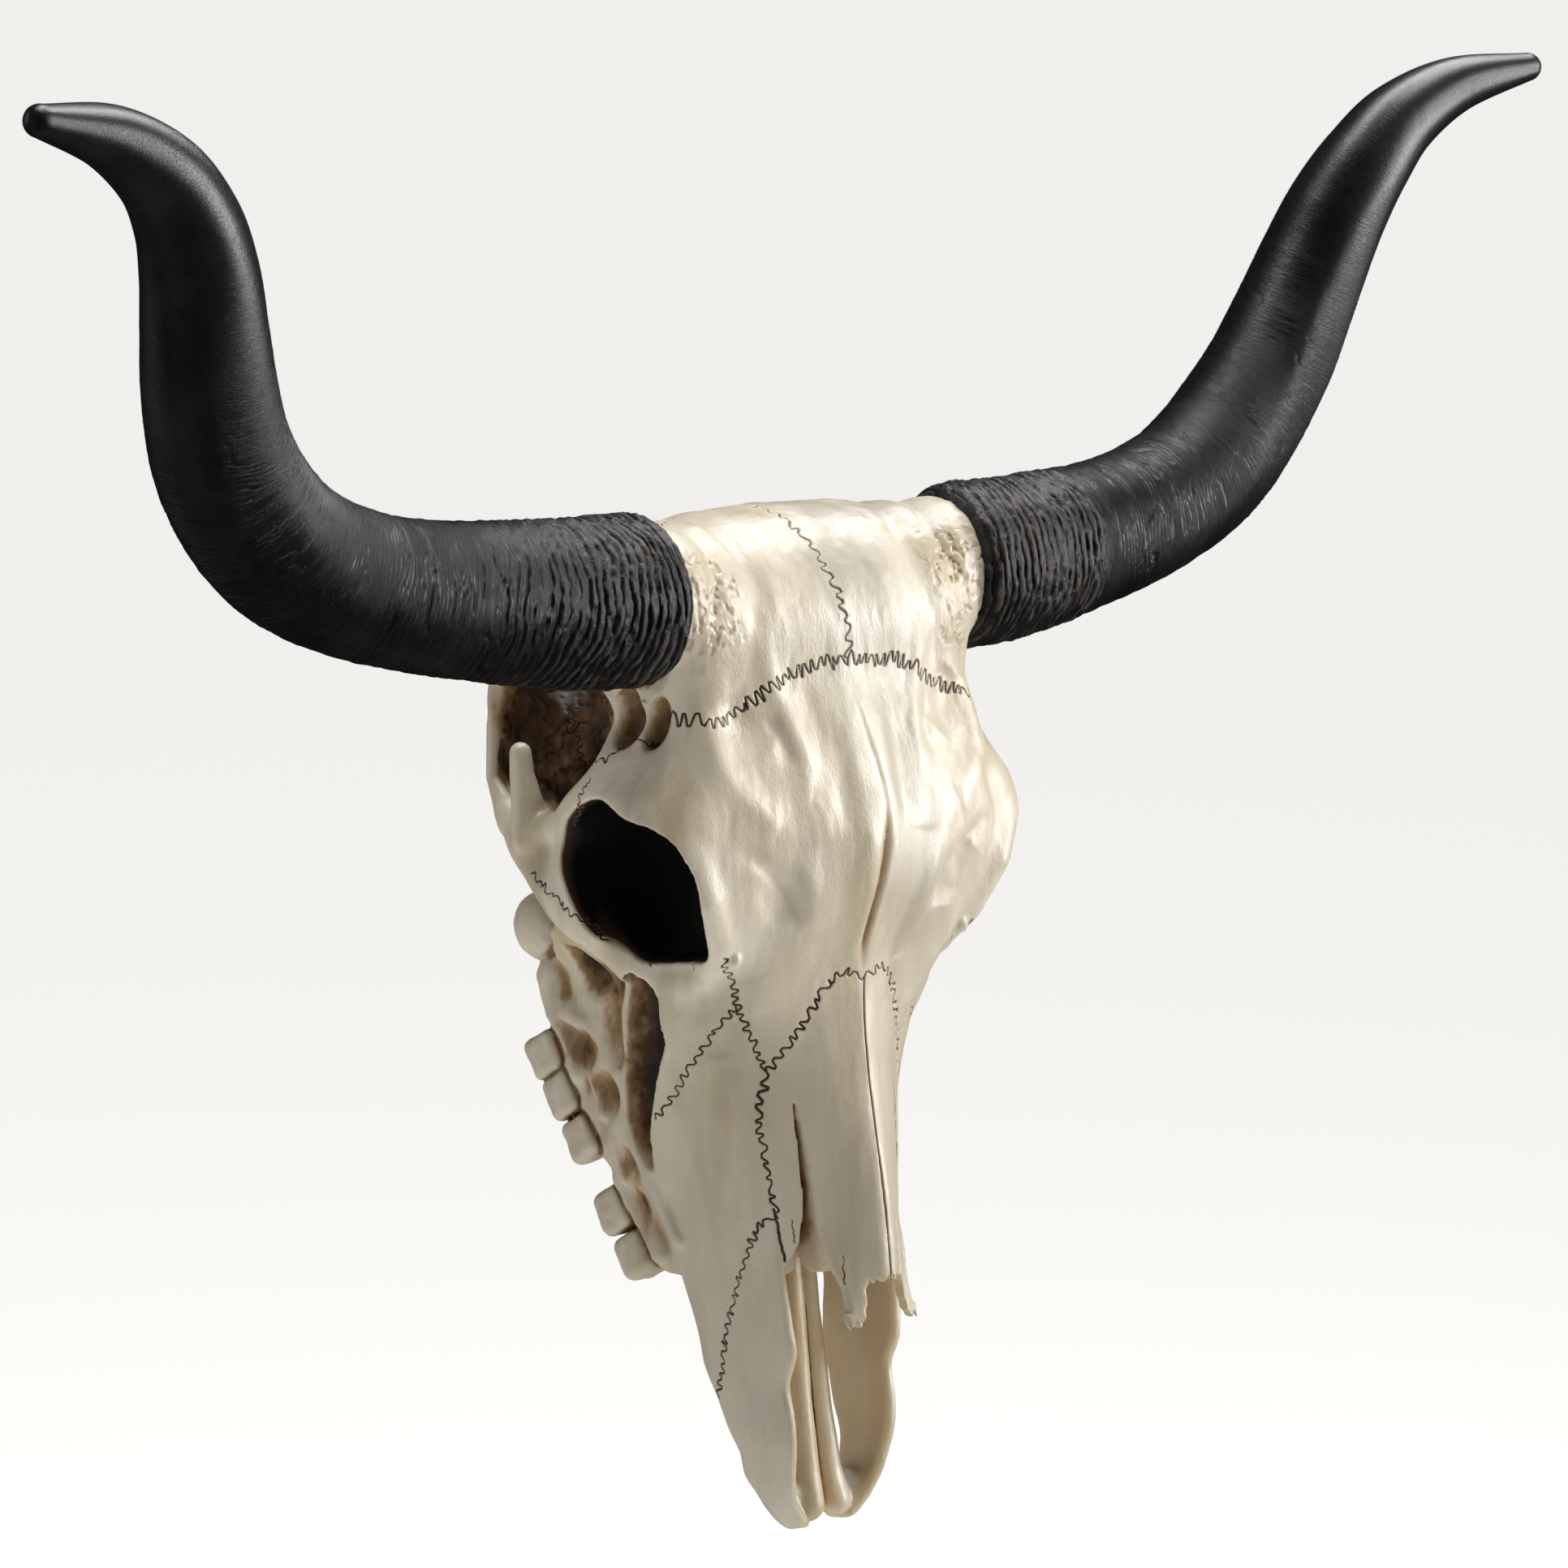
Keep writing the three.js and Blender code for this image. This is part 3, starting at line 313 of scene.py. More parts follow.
def add_arch(field):
    field.lump((97, 62, -42), (9, 46, 24), 10, lean=31, turn=6)
    field.limb([(78, -10, -90, 6), (86, 20, -84, 7), (96, 46, -64, 8), (101, 64, -49, 8),
                (102, 84, -34, 7), (99, 100, -18, 7)], 8)
    field.limb([(98, 98, -22, 8), (97.5, 115, -3, 3.2), (97.5, 115.5, 24, 3), (88, 112, 48, 6),
                (70, 96, 72, 12)], 3)
    field.limb([(90, 121, -8, 4), (87, 123, 12, 4), (84, 122, 34, 5)], 5)
    field.limb([(94, 20, 14, 8), (99, 38, -4, 7), (102, 56, -18, 6), (104, 72, -22, 7)], 7)
    field.limb([(102, 77, -26, 11), (105, 78, -9, 8), (106, 81, 4, 6.2), (106, 82, 15, 5.4)], 3)
    field.lump((72, 124, 6), (15, 18, 32), 8)


def add_orbit(field):
    rim = [(98, 24, -2), (104, -2, -1), (106, -28, -8), (103, -43, -20), (95, -48, -42), (83, -42, -66),
           (77, -26, -84), (79, -6, -90), (86, 20, -84), (97, 35, -62), (102, 42, -38), (102, 38, -14)]
    field.limb([(*p, 4.5) for p in rim + rim[:1]], 10)
    field.window_cut(ORBIT, 54, 125, 0.3, 98, 1.5, 20)
    field.lump((74, -44, -73), (3.6, 3.6, 4.4), 1.5)


def add_jaw(field):
    field.limb([(84, 15, -86, 8), (84, 10, -99, 14), (81, 14, -114, 17), (78, 20, -131, 15),
                (75, 25, -148, 13), (72, 29, -164, 11), (70, 28, -177, 7), (69, 26, -188, 3)],
               1.6, carve=True)
    field.limb([(84, 40, -92, 9), (81, 50, -104, 11), (78, 50, -118, 9), (76, 46, -134, 6)], 7, carve=True)
    field.lump((57, 121, -83), (17, 18, 18), 4)
    field.limb([(58, 110, -107, 12), (58, 104, -124, 11), (56, 98, -140, 10)], 3)
    field.limb([(57, 92, -150, 11), (57, 76, -172, 10), (52, 52, -212, 9), (48, 34, -240, 7)], 5)
    field.limb([(62, 92, -122, 8), (64, 78, -126, 7), (65, 62, -134, 7), (65, 50, -147, 7),
                (64, 44, -164, 6), (64, 36, -184, 6), (61, 28, -202, 5), (55, 20, -226, 4)], 3)
    field.limb([(62, 100, -128, 7), (64, 88, -140, 7), (64, 84, -152, 7)], 2.5)
    field.limb([(65, 66, -138, 6), (65, 68, -152, 6.5), (64, 64, -168, 6)], 2.5)
    field.limb([(63, 52, -168, 6.5), (63, 56, -182, 6.5), (61, 50, -198, 6)], 2.5)
    field.limb([(60, 40, -204, 6), (57, 40, -220, 6), (54, 34, -236, 6)], 2.5)
    field.lump((78, 68, -96), (16, 14, 12), 7, lean=20, carve=True)
    field.lump((74, 79, -138), (9, 12, 9), 7, carve=True)
    field.lump((73, 58, -158), (8, 10, 10), 7, carve=True)
    field.lump((71, 93, -131), (5, 8, 4), 4, lean=20, carve=True)
    field.lump((69, 45, -193), (5.5, 7, 9), 6, carve=True)
    field.lump((64, 42, -217), (6, 7, 12), 5, carve=True)
    field.lump((60, 6, -237), (8, 4, 3.5), 2, carve=True)
    field.lump((60, 72, -203), (20, 9, 8), 2, lean=-32, carve=True)


# Slit between the nasal bone and the face: z, middle x, half width
SLIT = [(-240, 29, 9), (-226, 28.6, 4.4), (-212, 28.6, 2.6), (-196, 29, 1.9), (-176, 30.4, 1.5),
        (-150, 32.5, 0.4)]


def carve_nose(field):
    field.limb([(0, -12, -270, 36), (0, -14, -225, 29), (0, -22, -185, 20), (0, -28, -150, 12)],
               4, carve=True)
    field.limb([(30, -60, -266, 14), (30, -52, -248, 11), (31, -46, -236, 8)], 2, carve=True)


def add_nasals(field):
    spans, x, y, z = field.window((0, -92, -262), (44, -30, -150), 2)
    ridge, ex, ey = field.rows(NASAL, spans)
    across = np.sqrt(x * x + 16) - 4
    prong = 22 * fade(9, 15, x)
    splinters = 9 * np.abs((x / 4.4 + 0.15) % 1 - 0.5)
    d = to_segment(across, y, 0, ridge + 3, ex - 2, ey + 2) - NASAL_HALF
    d = smooth_max(d, -234 - prong - splinters - z, 1)
    field.blend(spans, smooth_max(d, z + 165 + 0 * x, 12), 1.5)


def carve_slit(field):
    spans, x, y, z = field.window((20, -80, -240), (40, -30, -150), 1)
    middle, half = field.rows(SLIT, spans)
    d = np.maximum(np.abs(x - middle) - half, y + 33)
    field.blend(spans, np.maximum(d, z + 150 + 0 * d), 1, carve=True)


def add_premaxilla(field):
    spans, x, y, z = field.window((0, -60, -380), (70, 50, -185), 2)
    fx, fy, mx, my, rx, ry = field.rows(BLADE, spans)
    front = to_segment(x, y, fx - 2, fy + 3, mx - 3, my)
    rear = to_segment(x, y, mx - 3, my, rx - 3, ry - 3)
    d = np.minimum(front, rear) - BLADE_HALF
    d = smooth_max(d, -370 - z, 3)
    field.blend(spans, smooth_max(d, z + 190, 8), 3)
    field.lump((14, -22, -358), (12, 8, 12), 10)
    field.limb([(4.6, -4, -205, 4.8), (4.6, -7, -235, 5), (5.2, -11, -270, 6), (6.2, -17, -315, 7),
                (7.2, -23, -346, 7.6), (8.5, -27, -361, 8.4)], 1.5)
    field.lump((0, 20, -240), (44, 8, 38), 6, lean=14)


def to_tooth(x, y, z, tooth):
    """Distance to one tooth, a rounded block that leans in the plane of y and z."""
    cos, sin = math.cos(TOOTH_LEAN), math.sin(TOOTH_LEAN)
    face, ty, tz = tooth
    y, z = y - ty, z - tz
    q = (x - face + TOOTH_HALF[0] + TOOTH_ROUND, y * cos - z * sin, y * sin + z * cos)
    qx, qy, qz = (np.abs(v) - half for v, half in zip(q, TOOTH_HALF))
    outer = np.sqrt(np.maximum(qx, 0) ** 2 + np.maximum(qy, 0) ** 2 + np.maximum(qz, 0) ** 2)
    return outer + np.minimum(np.maximum(qx, np.maximum(qy, qz)), 0) - TOOTH_ROUND


def add_teeth(field):
    for tooth in TEETH:
        centre = np.array(tooth) - (TOOTH_HALF[0] + TOOTH_ROUND, 0, 0)
        spans, x, y, z = field.window(centre - (14, 18, 18), centre + (14, 18, 18), 1)
        field.blend(spans, to_tooth(x, y, z, tooth), 1.2)


def tooth_seams(points, gum):
    """1 in the seams where a tooth meets the jaw or its neighbour; gum is the jaw without teeth."""
    teeth = [to_tooth(*outward(points).T, tooth) for tooth in TEETH]
    gap = np.sort(np.array(teeth + [gum]), axis=0)[1]
    return np.exp(-(np.maximum(gap, 0) / SEAM_WIDTH) ** 2) * (np.min(teeth, axis=0) < 2)


# Folds and hollows of the face: height, half width, course through points x, z
FOLDS = [
    (2.6, 8, [(93, 70), (89, 46), (86, 32), (80, 12), (64, -2), (48, -18)]),
    (1.4, 12, [(84, -4), (60, -12)]),
    (-3.4, 9, [(70, -30), (60, -40), (54, -50), (53, -60)]),
    (-2.0, 4.2, [(82, -16), (66, -26), (52, -38), (45, -50), (43, -62)]),
    (1.6, 6.5, [(46, -22), (41, -36), (35, -50), (33, -68)]),
    (-3.2, 10, [(74, 54), (64, 40), (54, 28)]),
    (-1.7, 4, [(51, 44), (46, 32), (44, 18)]),
    (1.8, 6, [(55, 88), (48, 60), (40, 42), (37, 20), (40, 0)]),
    (-1.5, 7.5, [(28, 56), (21, 28), (18, 6), (20, -12)]),
    (0.9, 6, [(10, 44), (9, 10), (9, -20), (11, -60)]),
    (1.2, 10, [(34, 4), (31, -18)]),
    (-1.2, 8, [(27, -52), (26, -84)]),
    (1.4, 10, [(62, -84), (54, -106)]),
    (-1.4, 9, [(70, -98), (62, -128)]),
    (0.9, 8, [(66, -118), (62, -170)]),
    (-0.9, 8, [(52, -140), (52, -210)]),
    (0.8, 7, [(20, -104), (20, -170)]),
]


def to_course(x, z, course):
    """Distance in the plane to a rounded course of points, and how far along it, 0 to 1."""
    points = round_off(np.array(course, float), 2)
    near, along = 1e6, 0.0
    for i, ((ax, az), (bx, bz)) in enumerate(zip(points[:-1], points[1:])):
        ex, ez = bx - ax, bz - az
        t = np.clip(((x - ax) * ex + (z - az) * ez) / (ex * ex + ez * ez), 0, 1)
        d = np.sqrt((x - ax - t * ex) ** 2 + (z - az - t * ez) ** 2)
        along = np.where(d < near, (i + t) / (len(points) - 1), along)
        near = np.minimum(near, d)
    return near, along


def model_face(field):
    spans, x, y, z = field.window((0, -92, -240), (122, 0, 110), 0)
    height = np.zeros((x.shape[0], 1, z.shape[2]), F4)
    for amount, width, course in FOLDS:
        d, along = to_course(x, z, course)
        height = height + amount * (1 - (2 * along - 1) ** 4) * np.exp(-(d / width) ** 2)
    relief = (height * fade(0, -20, y)).astype(F4)
    field.value[spans] -= relief
    field.uncut[spans] -= relief


def carve_hanger(field):
    for half_x, half_z, middle, deep in RECESSES:
        low, high = (0, WALL - deep, middle - half_z), (half_x, WALL + 4, middle + half_z)
        spans, x, y, z = field.window(low, high, 0.3)
        d = np.maximum(np.maximum(x - half_x, np.abs(z - middle) - half_z), WALL - deep - y)
        field.blend(spans, d, 0.3, carve=True)


def cut_flats(field):
    """Cuts the back flat at the wall, and the seats of the horns."""
    x, y, z = (axis.reshape(np.roll((-1, 1, 1), i)) for i, axis in enumerate(field.axes))
    seat = x - HORN_SEAT - 22 * fade(58, 48, z)
    field.value = np.maximum(field.value, np.maximum(y - WALL, seat))


def build_field():
    field = BoneField()
    add_face(field)
    add_cranium(field)
    carve_temples(field)
    add_arch(field)
    add_orbit(field)
    add_jaw(field)
    carve_nose(field)
    add_nasals(field)
    carve_slit(field)
    add_premaxilla(field)
    field.toothless = field.value.copy()
    add_teeth(field)
    model_face(field)
    carve_hanger(field)
    cut_flats(field)
    return field


class Volume:
    """The whole bone's field, with smooth look-up at points in millimetres."""

    def __init__(self, value, low, step):
        self.value, self.low, self.step = value, np.array(low), step

    def at(self, p):
        q = (p - self.low) / self.step
        q = np.clip(q, 0, np.array(self.value.shape) - 1.001)
        i = q.astype(int)
        u = q - i
        total = np.zeros(len(p))
        for corner in range(8):
            bits = (corner & 1, corner >> 1 & 1, corner >> 2 & 1)
            weight = np.prod([u[:, a] if b else 1 - u[:, a] for a, b in enumerate(bits)], axis=0)
            total += weight * self.value[i[:, 0] + bits[0], i[:, 1] + bits[1], i[:, 2] + bits[2]]
        return total

    def slope(self, p):
        e = self.step * 0.6
        return np.stack([(self.at(p + e * d) - self.at(p - e * d)) / (2 * e) for d in np.eye(3)], -1)

    def settle(self, p, times=2):
        """Moves points along the slope onto the surface."""
        for _ in range(times):
            g = self.slope(p)
            move = self.at(p) / (np.sum(g * g, -1) + 1e-6)
            p = p - np.clip(move, -3, 3)[:, None] * g
        return p


def whole_volume(field, half):
    full = np.concatenate([half[:0:-1], half])
    return Volume(full, (-field.axes[0][-1], GRID_LOW[1], GRID_LOW[2]), VOXEL)


def net_points(f, inside):
    """Number of each mixed cell, and its point in grid steps, at the mean of its edge crossings."""
    nx, ny, nz = f.shape
    cell = [(slice(a, nx - 1 + a), slice(b, ny - 1 + b), slice(c, nz - 1 + c))
            for a in (0, 1) for b in (0, 1) for c in (0, 1)]
    count = sum(inside[s].astype(np.int8) for s in cell)
    where = np.argwhere((count > 0) & (count < 8))
    number = np.full((nx - 1, ny - 1, nz - 1), -1, np.int32)
    number[tuple(where.T)] = np.arange(len(where))
    total = np.zeros((len(where), 3))
    hits = np.zeros(len(where))
    corners = [np.array(c) for c in np.ndindex(2, 2, 2)]
    for a in corners:
        for axis in range(3):
            if a[axis]:
                continue
            step = np.eye(3, dtype=int)[axis]
            fa = f[tuple((where + a).T)]
            fb = f[tuple((where + a + step).T)]
            cross = (fa < 0) != (fb < 0)
            t = np.where(cross, fa / np.where(cross, fa - fb, 1), 0)
            total += np.where(cross[:, None], a + t[:, None] * step, 0)
            hits += cross
    return number, where + total / hits[:, None]


def net_quads(inside, number, axis):
    """Quads across the grid edges along one axis that pass through the surface."""
    u, v = (axis + 1) % 3, (axis + 2) % 3
    low = [slice(1, n - 1) for n in inside.shape]
    low[axis] = slice(0, inside.shape[axis] - 1)
    high = list(low)
    high[axis] = slice(1, inside.shape[axis])
    a, b = inside[tuple(low)], inside[tuple(high)]
    base = np.argwhere(a != b)
    leaving = a[tuple(base.T)]
    base = base + [s.start for s in low]
    ring = []
    for du, dv in ((-1, -1), (0, -1), (0, 0), (-1, 0)):
        at = base.copy()
        at[:, u] += du
        at[:, v] += dv
        ring.append(number[tuple(at.T)])
    ring = np.stack(ring, -1)
    return np.where(leaving[:, None], ring, ring[:, ::-1])


def surface_nets(volume):
    """Points and quads over the zero surface."""
    inside = volume.value < 0
    number, points = net_points(volume.value, inside)
    quads = [net_quads(inside, number, axis) for axis in range(3)]
    return points * volume.step + volume.low, np.concatenate(quads)


# ------------------------------------------------------------------ mesh helpers
def to_row(p):
    """Millimetres on the skull's datum to metres in the row's frame."""
    return (np.asarray(p, float) - (0, WALL, 0)) * MM


def make_object(name, points, faces, material, body="root", smooth=True):
    mesh = bpy.data.meshes.new(name)
    mesh.from_pydata(to_row(points).tolist(), [], [list(map(int, f)) for f in faces])
    mesh.validate()
    if smooth:
        mesh.shade_smooth()
    obj = bpy.data.objects.new(name, mesh)
    bpy.context.scene.collection.objects.link(obj)
    mesh.materials.append(material)
    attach(obj, body)
    return obj


def set_attribute(mesh, name, values):
    layer = mesh.attributes.new(name, "FLOAT", "POINT")
    layer.data.foreach_set("value", np.asarray(values, F4))


def mesh_points(mesh):
    flat = np.empty(len(mesh.vertices) * 3, F4)
    mesh.vertices.foreach_get("co", flat)
    return flat.reshape(-1, 3).astype(float) / MM + (0, WALL, 0)


def move_points(mesh, points):
    mesh.vertices.foreach_set("co", to_row(points).astype(F4).ravel())
    mesh.update()


# ------------------------------------------------------------------ sutures
# Each: course, sway, wave length, width; those off the middle lie on both sides
SUTURES = [
    ([(-12, 20, 137), (-7, -8, 126), (-3, -26, 111), (0, -40, 88), (0, -42, 67)], 4.2, 7.0, 0.62),
    ([(0, -42, 67), (30, -41, 65), (46, -40, 58), (60, -38, 49), (76, -36, 43), (85, -30, 41),
      (90, -18, 43)], 6.2, 4.4, 0.62),
    ([(90, -18, 43), (92, -8, 28), (96, 10, 20), (100, 30, 14)], 3.6, 4.4, 0.6),
    ([(81, -44, -71), (62, -31, -98), (42, -31, -134)], 3.6, 5.6, 0.62),
    ([(62, -31, -98), (68, -8, -127), (72, 4, -149), (74, 13, -161)], 3.4, 6.0, 0.55),
    ([(42, -31, -134), (34, -40, -120), (24, -49, -97), (16, -53, -83), (0, -55, -89)], 3.8, 5.6, 0.66),
    ([(42, -31, -134), (45, -29, -155), (43, -33, -183), (41, -37, -205)], 3.8, 5.8, 0.7),
    ([(41, -37, -205), (48, -27, -216), (50, -18, -238), (45, -5, -270), (40, 5, -307)], 3.6, 5.4, 0.62),
    ([(109, 69, -43), (108, 48, -54), (97, 24, -71)], 3.4, 4.6, 0.5),
    ([(0, -55, -89), (0, -66, -160), (0, -79, -240)], 0.15, 9.0, 0.6),
    ([(0, -18, -262), (0, -24, -310), (0, -30, -352)], 0.2, 12.0, 0.9),
    ([(41, -36, -203), (39, -37, -211), (38, -38, -219), (36.5, -40, -229)], 0.5, 5.0, 0.9),
    ([(35, -43, -208), (35, -44, -213), (34, -44, -219)], 0.5, 3.0, 0.4),
    ([(13, -67, -209), (12, -69, -221), (10, -73, -234)], 0.8, 5.0, 0.42),
    ([(20, -64, -224), (20, -66, -238)], 0.8, 5.0, 0.36),
    ([(16.5, -71, -238), (15.5, -74, -252)], 0.7, 4.0, 0.36),
    ([(88, 2, -76), (89.5, 0, -81)], 0.9, 3.0, 0.36),
    ([(83, -25, -74), (83.5, -24, -80)], 0.9, 3.0, 0.34),
    ([(84, 4, 134), (71, 14, 134), (56, 26, 133)], 1.6, 4.4, 0.4),
    ([(66, 92, 30), (66, 87, 16), (63, 84, 2), (66, 76, -8)], 3.0, 4.0, 0.6),
    ([(106, 26, 10), (109, 30, 0), (104, 42, -16)], 2.6, 3.6, 0.45),
]
GROOVE_DEPTH = 0.7
SUTURE_REACH = 4.2             # the mesh is divided finer within this of a suture
CREASE_DEPTH = 2.4


def resample(points, step):
    points = np.array(points, float)
    length = np.r_[0, np.cumsum(np.linalg.norm(np.diff(points, axis=0), axis=1))]
    count = max(int(length[-1] / step), 2)
    s = np.linspace(0, length[-1], count + 1)
    return np.stack([np.interp(s, length, points[:, a]) for a in range(3)], -1)


def suture_paths(volume, random):
    paths = []
    for course, sway, wave, width in SUTURES:
        middle = max(abs(p[0]) for p in course) < 20
        for side in ((1,) if middle else (1, -1)):
            route = round_off(np.array(course, float) * (side, 1, 1))
            line = volume.settle(resample(route, wave / 2), 3)
            ahead = unit(np.gradient(line, axis=0))
            across = unit(np.cross(unit(volume.slope(line)), ahead))
            swing = np.where(np.arange(len(line)) % 2, 1, -1) * random.uniform(0.45, 1.1, len(line))
            slip = random.uniform(-0.35, 0.35, len(line)) * wave
            swing[[0, -1]] = 0
            slip[[0, -1]] = 0
            zigzag = line + across * (sway * swing)[:, None] + ahead * slip[:, None]
            fine = volume.settle(resample(round_off(zigzag, 1), 0.4), 2)
            paths.append((fine, width * (0.8 + 0.35 * value_noise(fine / 9.0))))
    return paths


def refine(mesh, wanted, cuts):
    """Divides the edges that have both ends in wanted."""
    bm = bmesh.new()
    bm.from_mesh(mesh)
    bm.verts.ensure_lookup_table()
    edges = [e for e in bm.edges if wanted[e.verts[0].index] and wanted[e.verts[1].index]]
    bmesh.ops.subdivide_edges(bm, edges=edges, cuts=cuts, use_grid_fill=True)
    bm.to_mesh(mesh)
    bm.free()


def nearest_suture(points, paths):
    tree = KDTree(sum(len(p) for p, _ in paths))
    widths = []
    for path, path_widths in paths:
        for p, width in zip(path, path_widths):
            tree.insert(p, len(widths))
            widths.append(width)
    tree.balance()
    found = [tree.find(p) for p in points]
    return np.array([f[2] for f in found]), np.array([widths[f[1]] for f in found])


# ------------------------------------------------------------------ the skull's skin
def crowding(volume, points, normals, reach, spread):
    """Share of bone within about spread of a point held off the surface: high in hollows."""
    step = max(int(round(2.4 / VOXEL)), 1)
    solid = np.clip(0.5 - volume.value[::step, ::step, ::step] / 3.0, 0, 1).astype(F4)
    width = max(int(round(spread / (VOXEL * step))), 1)
    for _ in range(2):
        for axis in range(3):
            pad = [(0, 0)] * 3
            pad[axis] = (width + 1, width)
            total = np.cumsum(np.pad(solid, pad, mode="edge"), axis=axis, dtype=np.float64)
            n = solid.shape[axis]
            high = np.take(total, np.arange(2 * width + 1, 2 * width + 1 + n), axis=axis)
            low = np.take(total, np.arange(0, n), axis=axis)
            solid = ((high - low) / (2 * width + 1)).astype(F4)
    return Volume(solid, volume.low, VOXEL * step).at(points + normals * reach)


DEEP = 25.0                    # depth that counts as 1
NOSE_CAVE = ((0, -20, -200), 40)
# Region of the temple that gets brown stain and painted shade: middle y z, half sizes
TEMPLE = (78, 20, 52, 46)
# Region of the jaw's flank that gets brown stain and painted shade: front edge y and z at its two ends, and
# how far the stain and shade fade
JAW_FRONT = ((18, -84), (30, -240))
JAW_FADE = 10
MID_CREASE = [(0, 46), (2.6, 20), (5, 2), (2.5, -20), (-1, -46), (-3, -66), (-2, -84)]


def outward(points):
    mirrored = points.copy()
    mirrored[:, 0] = np.abs(points[:, 0])
    return mirrored


def shade_caves(points):
    """1 inside the eye socket and the nose, where painted shade goes."""
    x, y, z = outward(points).T
    socket = fade(9, 4, to_outline(y, z, ORBIT)) * fade(36, 44, x)
    centre, radius = NOSE_CAVE
    nose = fade(radius, radius - 24, np.linalg.norm(outward(points) - centre, axis=1))
    return np.maximum(socket, nose)


def shade_temple(points):
    """Mask of the pit behind the socket, down from its rim, where the bone is worn and gets brown stain and
    painted shade.
    """
    x, y, z = outward(points).T
    middle_y, middle_z, half_y, half_z = TEMPLE
    inside = np.sqrt(((y - middle_y) / half_y) ** 2 + ((z - middle_z) / half_z) ** 2)
    return fade(1.02, 0.8, inside) * fade(98, 92, x)


def shade_jaw(points):
    """1 on the jaw's flank, behind the face's side edge and below the cheek arch."""
    x, y, z = outward(points).T
    (ya, za), (yb, zb) = JAW_FRONT
    behind = y - (ya + (yb - ya) * (z - za) / (zb - za))
    below = fade(-76, -92, z - 0.35 * (y - 60))
    return fade(-2, JAW_FADE, behind) * below * fade(-250, -236, z) * fade(38, 46, x)


def nose_fade(points):
    """Fades the stain and painted shade of depth down the inside of the nose, from 1 above it."""
    x, y, z = outward(points).T
    within = fade(44, 36, x) * fade(30, 20, y)
    return 1 - within * (1 - fade(-240, -188, z))


def inside_nose(points, normals):
    """1 on the faces that look into the nose, and along the rods down its middle."""
    x, y, z = outward(points).T
    inward = -np.sign(points[:, 0]) * normals[:, 0]
    rods = fade(16, 11, x) * fade(-48, -38, y) * fade(-390, -280, z)
    under = fade(40, 32, x) * fade(-62, -54, y) * fade(0.1, 0.5, -normals[:, 2])
    faces = np.maximum(fade(0.0, 0.5, inward), rods) * fade(-198, -215, z)
    return np.maximum(faces, under * fade(-170, -182, z) * fade(-240, -225, z))


def mid_crease(points):
    """1 along the crease down the middle of the forehead, deepest between the eyes."""
    d, _ = to_course(points[:, 0], points[:, 2], MID_CREASE)
    deep = 0.3 + 0.7 * fade(0, -26, points[:, 2])
    ends = fade(-88, -66, points[:, 2]) * fade(48, 40, points[:, 2])
    return np.exp(-(d / (0.8 + deep)) ** 2) * deep * ends * (points[:, 1] < -30)


def rough_patch(points):
    """1 in the spongy bone beside the horn bases."""
    x = np.abs(points[:, 0])
    d = np.sqrt(((x - 84) / 26) ** 2 + ((points[:, 1] + 24) / 34) ** 2 + ((points[:, 2] - 96) / 34) ** 2)
    edge = 0.25 * fractal(points / 9.0, 2, 40)
    return fade(1.15, 0.55, d + edge)


def skull_mesh(volume, paths, material):
    """The plain bone, with a finer mesh along the sutures and in the rough patches."""
    points, quads = surface_nets(volume)
    skull = make_object("skull_bone", volume.settle(points, 2), quads, material)
    mesh = skull.data
    distance, _ = nearest_suture(mesh_points(mesh), paths)
    refine(mesh, distance < SUTURE_REACH, 2)
    refine(mesh, rough_patch(mesh_points(mesh)) > 0.15, 1)
    return skull


def skull_stain_and_shade(points, depth, wide, temple_pit, cracked, nose):
    """How dark the brown stain and painted shade are: in the hollows, the temples, the jaw's flanks and the
    nose.
    """
    jaw = shade_jaw(points)
    rear = fade(50, 96, points[:, 1])
    # In the temple pit: stain with painted shade, darker towards the back and where the bone crowds.
    temple = temple_pit * (0.22 + 0.16 * rear + 0.3 * fade(0.34, 0.5, wide) + 0.2 * cracked)
    stain_and_shade = np.maximum(depth, temple)
    blot = 0.8 + 0.34 * fade(-0.2, 0.3, fractal(points / 13.0, 3, 41))
    # On the jaw: stain with painted shade where the bone crowds and the hollow deepens.
    hollow = np.maximum(0.02 + 0.34 * fade(0.37, 0.56, wide), depth ** 0.8 * blot)
    stain_and_shade = stain_and_shade * (1 - jaw) + jaw * hollow
    inner = fade(40, 30, np.abs(points[:, 0])) * fade(-62, -52, points[:, 1])
    return np.maximum(stain_and_shade, nose * inner * 0.22 * fade(-256, -206, points[:, 2]))


def skull_relief(points, line, crease, temple_pit, cracked, seams, rough, pits):
    """Height of the fine relief over the plain bone, in millimetres."""
    grain = fractal(points / (7.0, 7.0, 22.0), 3, 3)
    height = 0.28 * grain - GROOVE_DEPTH * line - rough * (0.8 * pits - 0.4 * fractal(points / 5.5, 2, 5))
    erosion = 1.2 * fractal(points / 8.0, 2, 21) + 0.4 + 0.9 * cracked
    height = height - CREASE_DEPTH * crease - temple_pit * erosion
    return height - 0.8 * seams - shade_jaw(points) * 0.7 * fractal(points / 9.0, 2, 31)


def trim_skull(points):
    """Keeps the relief off the horns' seats and the wall."""
    seat = np.where((points[:, 2] > 50) & (np.abs(points[:, 1]) < 50), HORN_SEAT, 1000)
    points[:, 0] = np.clip(points[:, 0], -seat, seat)
    points[:, 1] = np.minimum(points[:, 1], WALL)
    return points


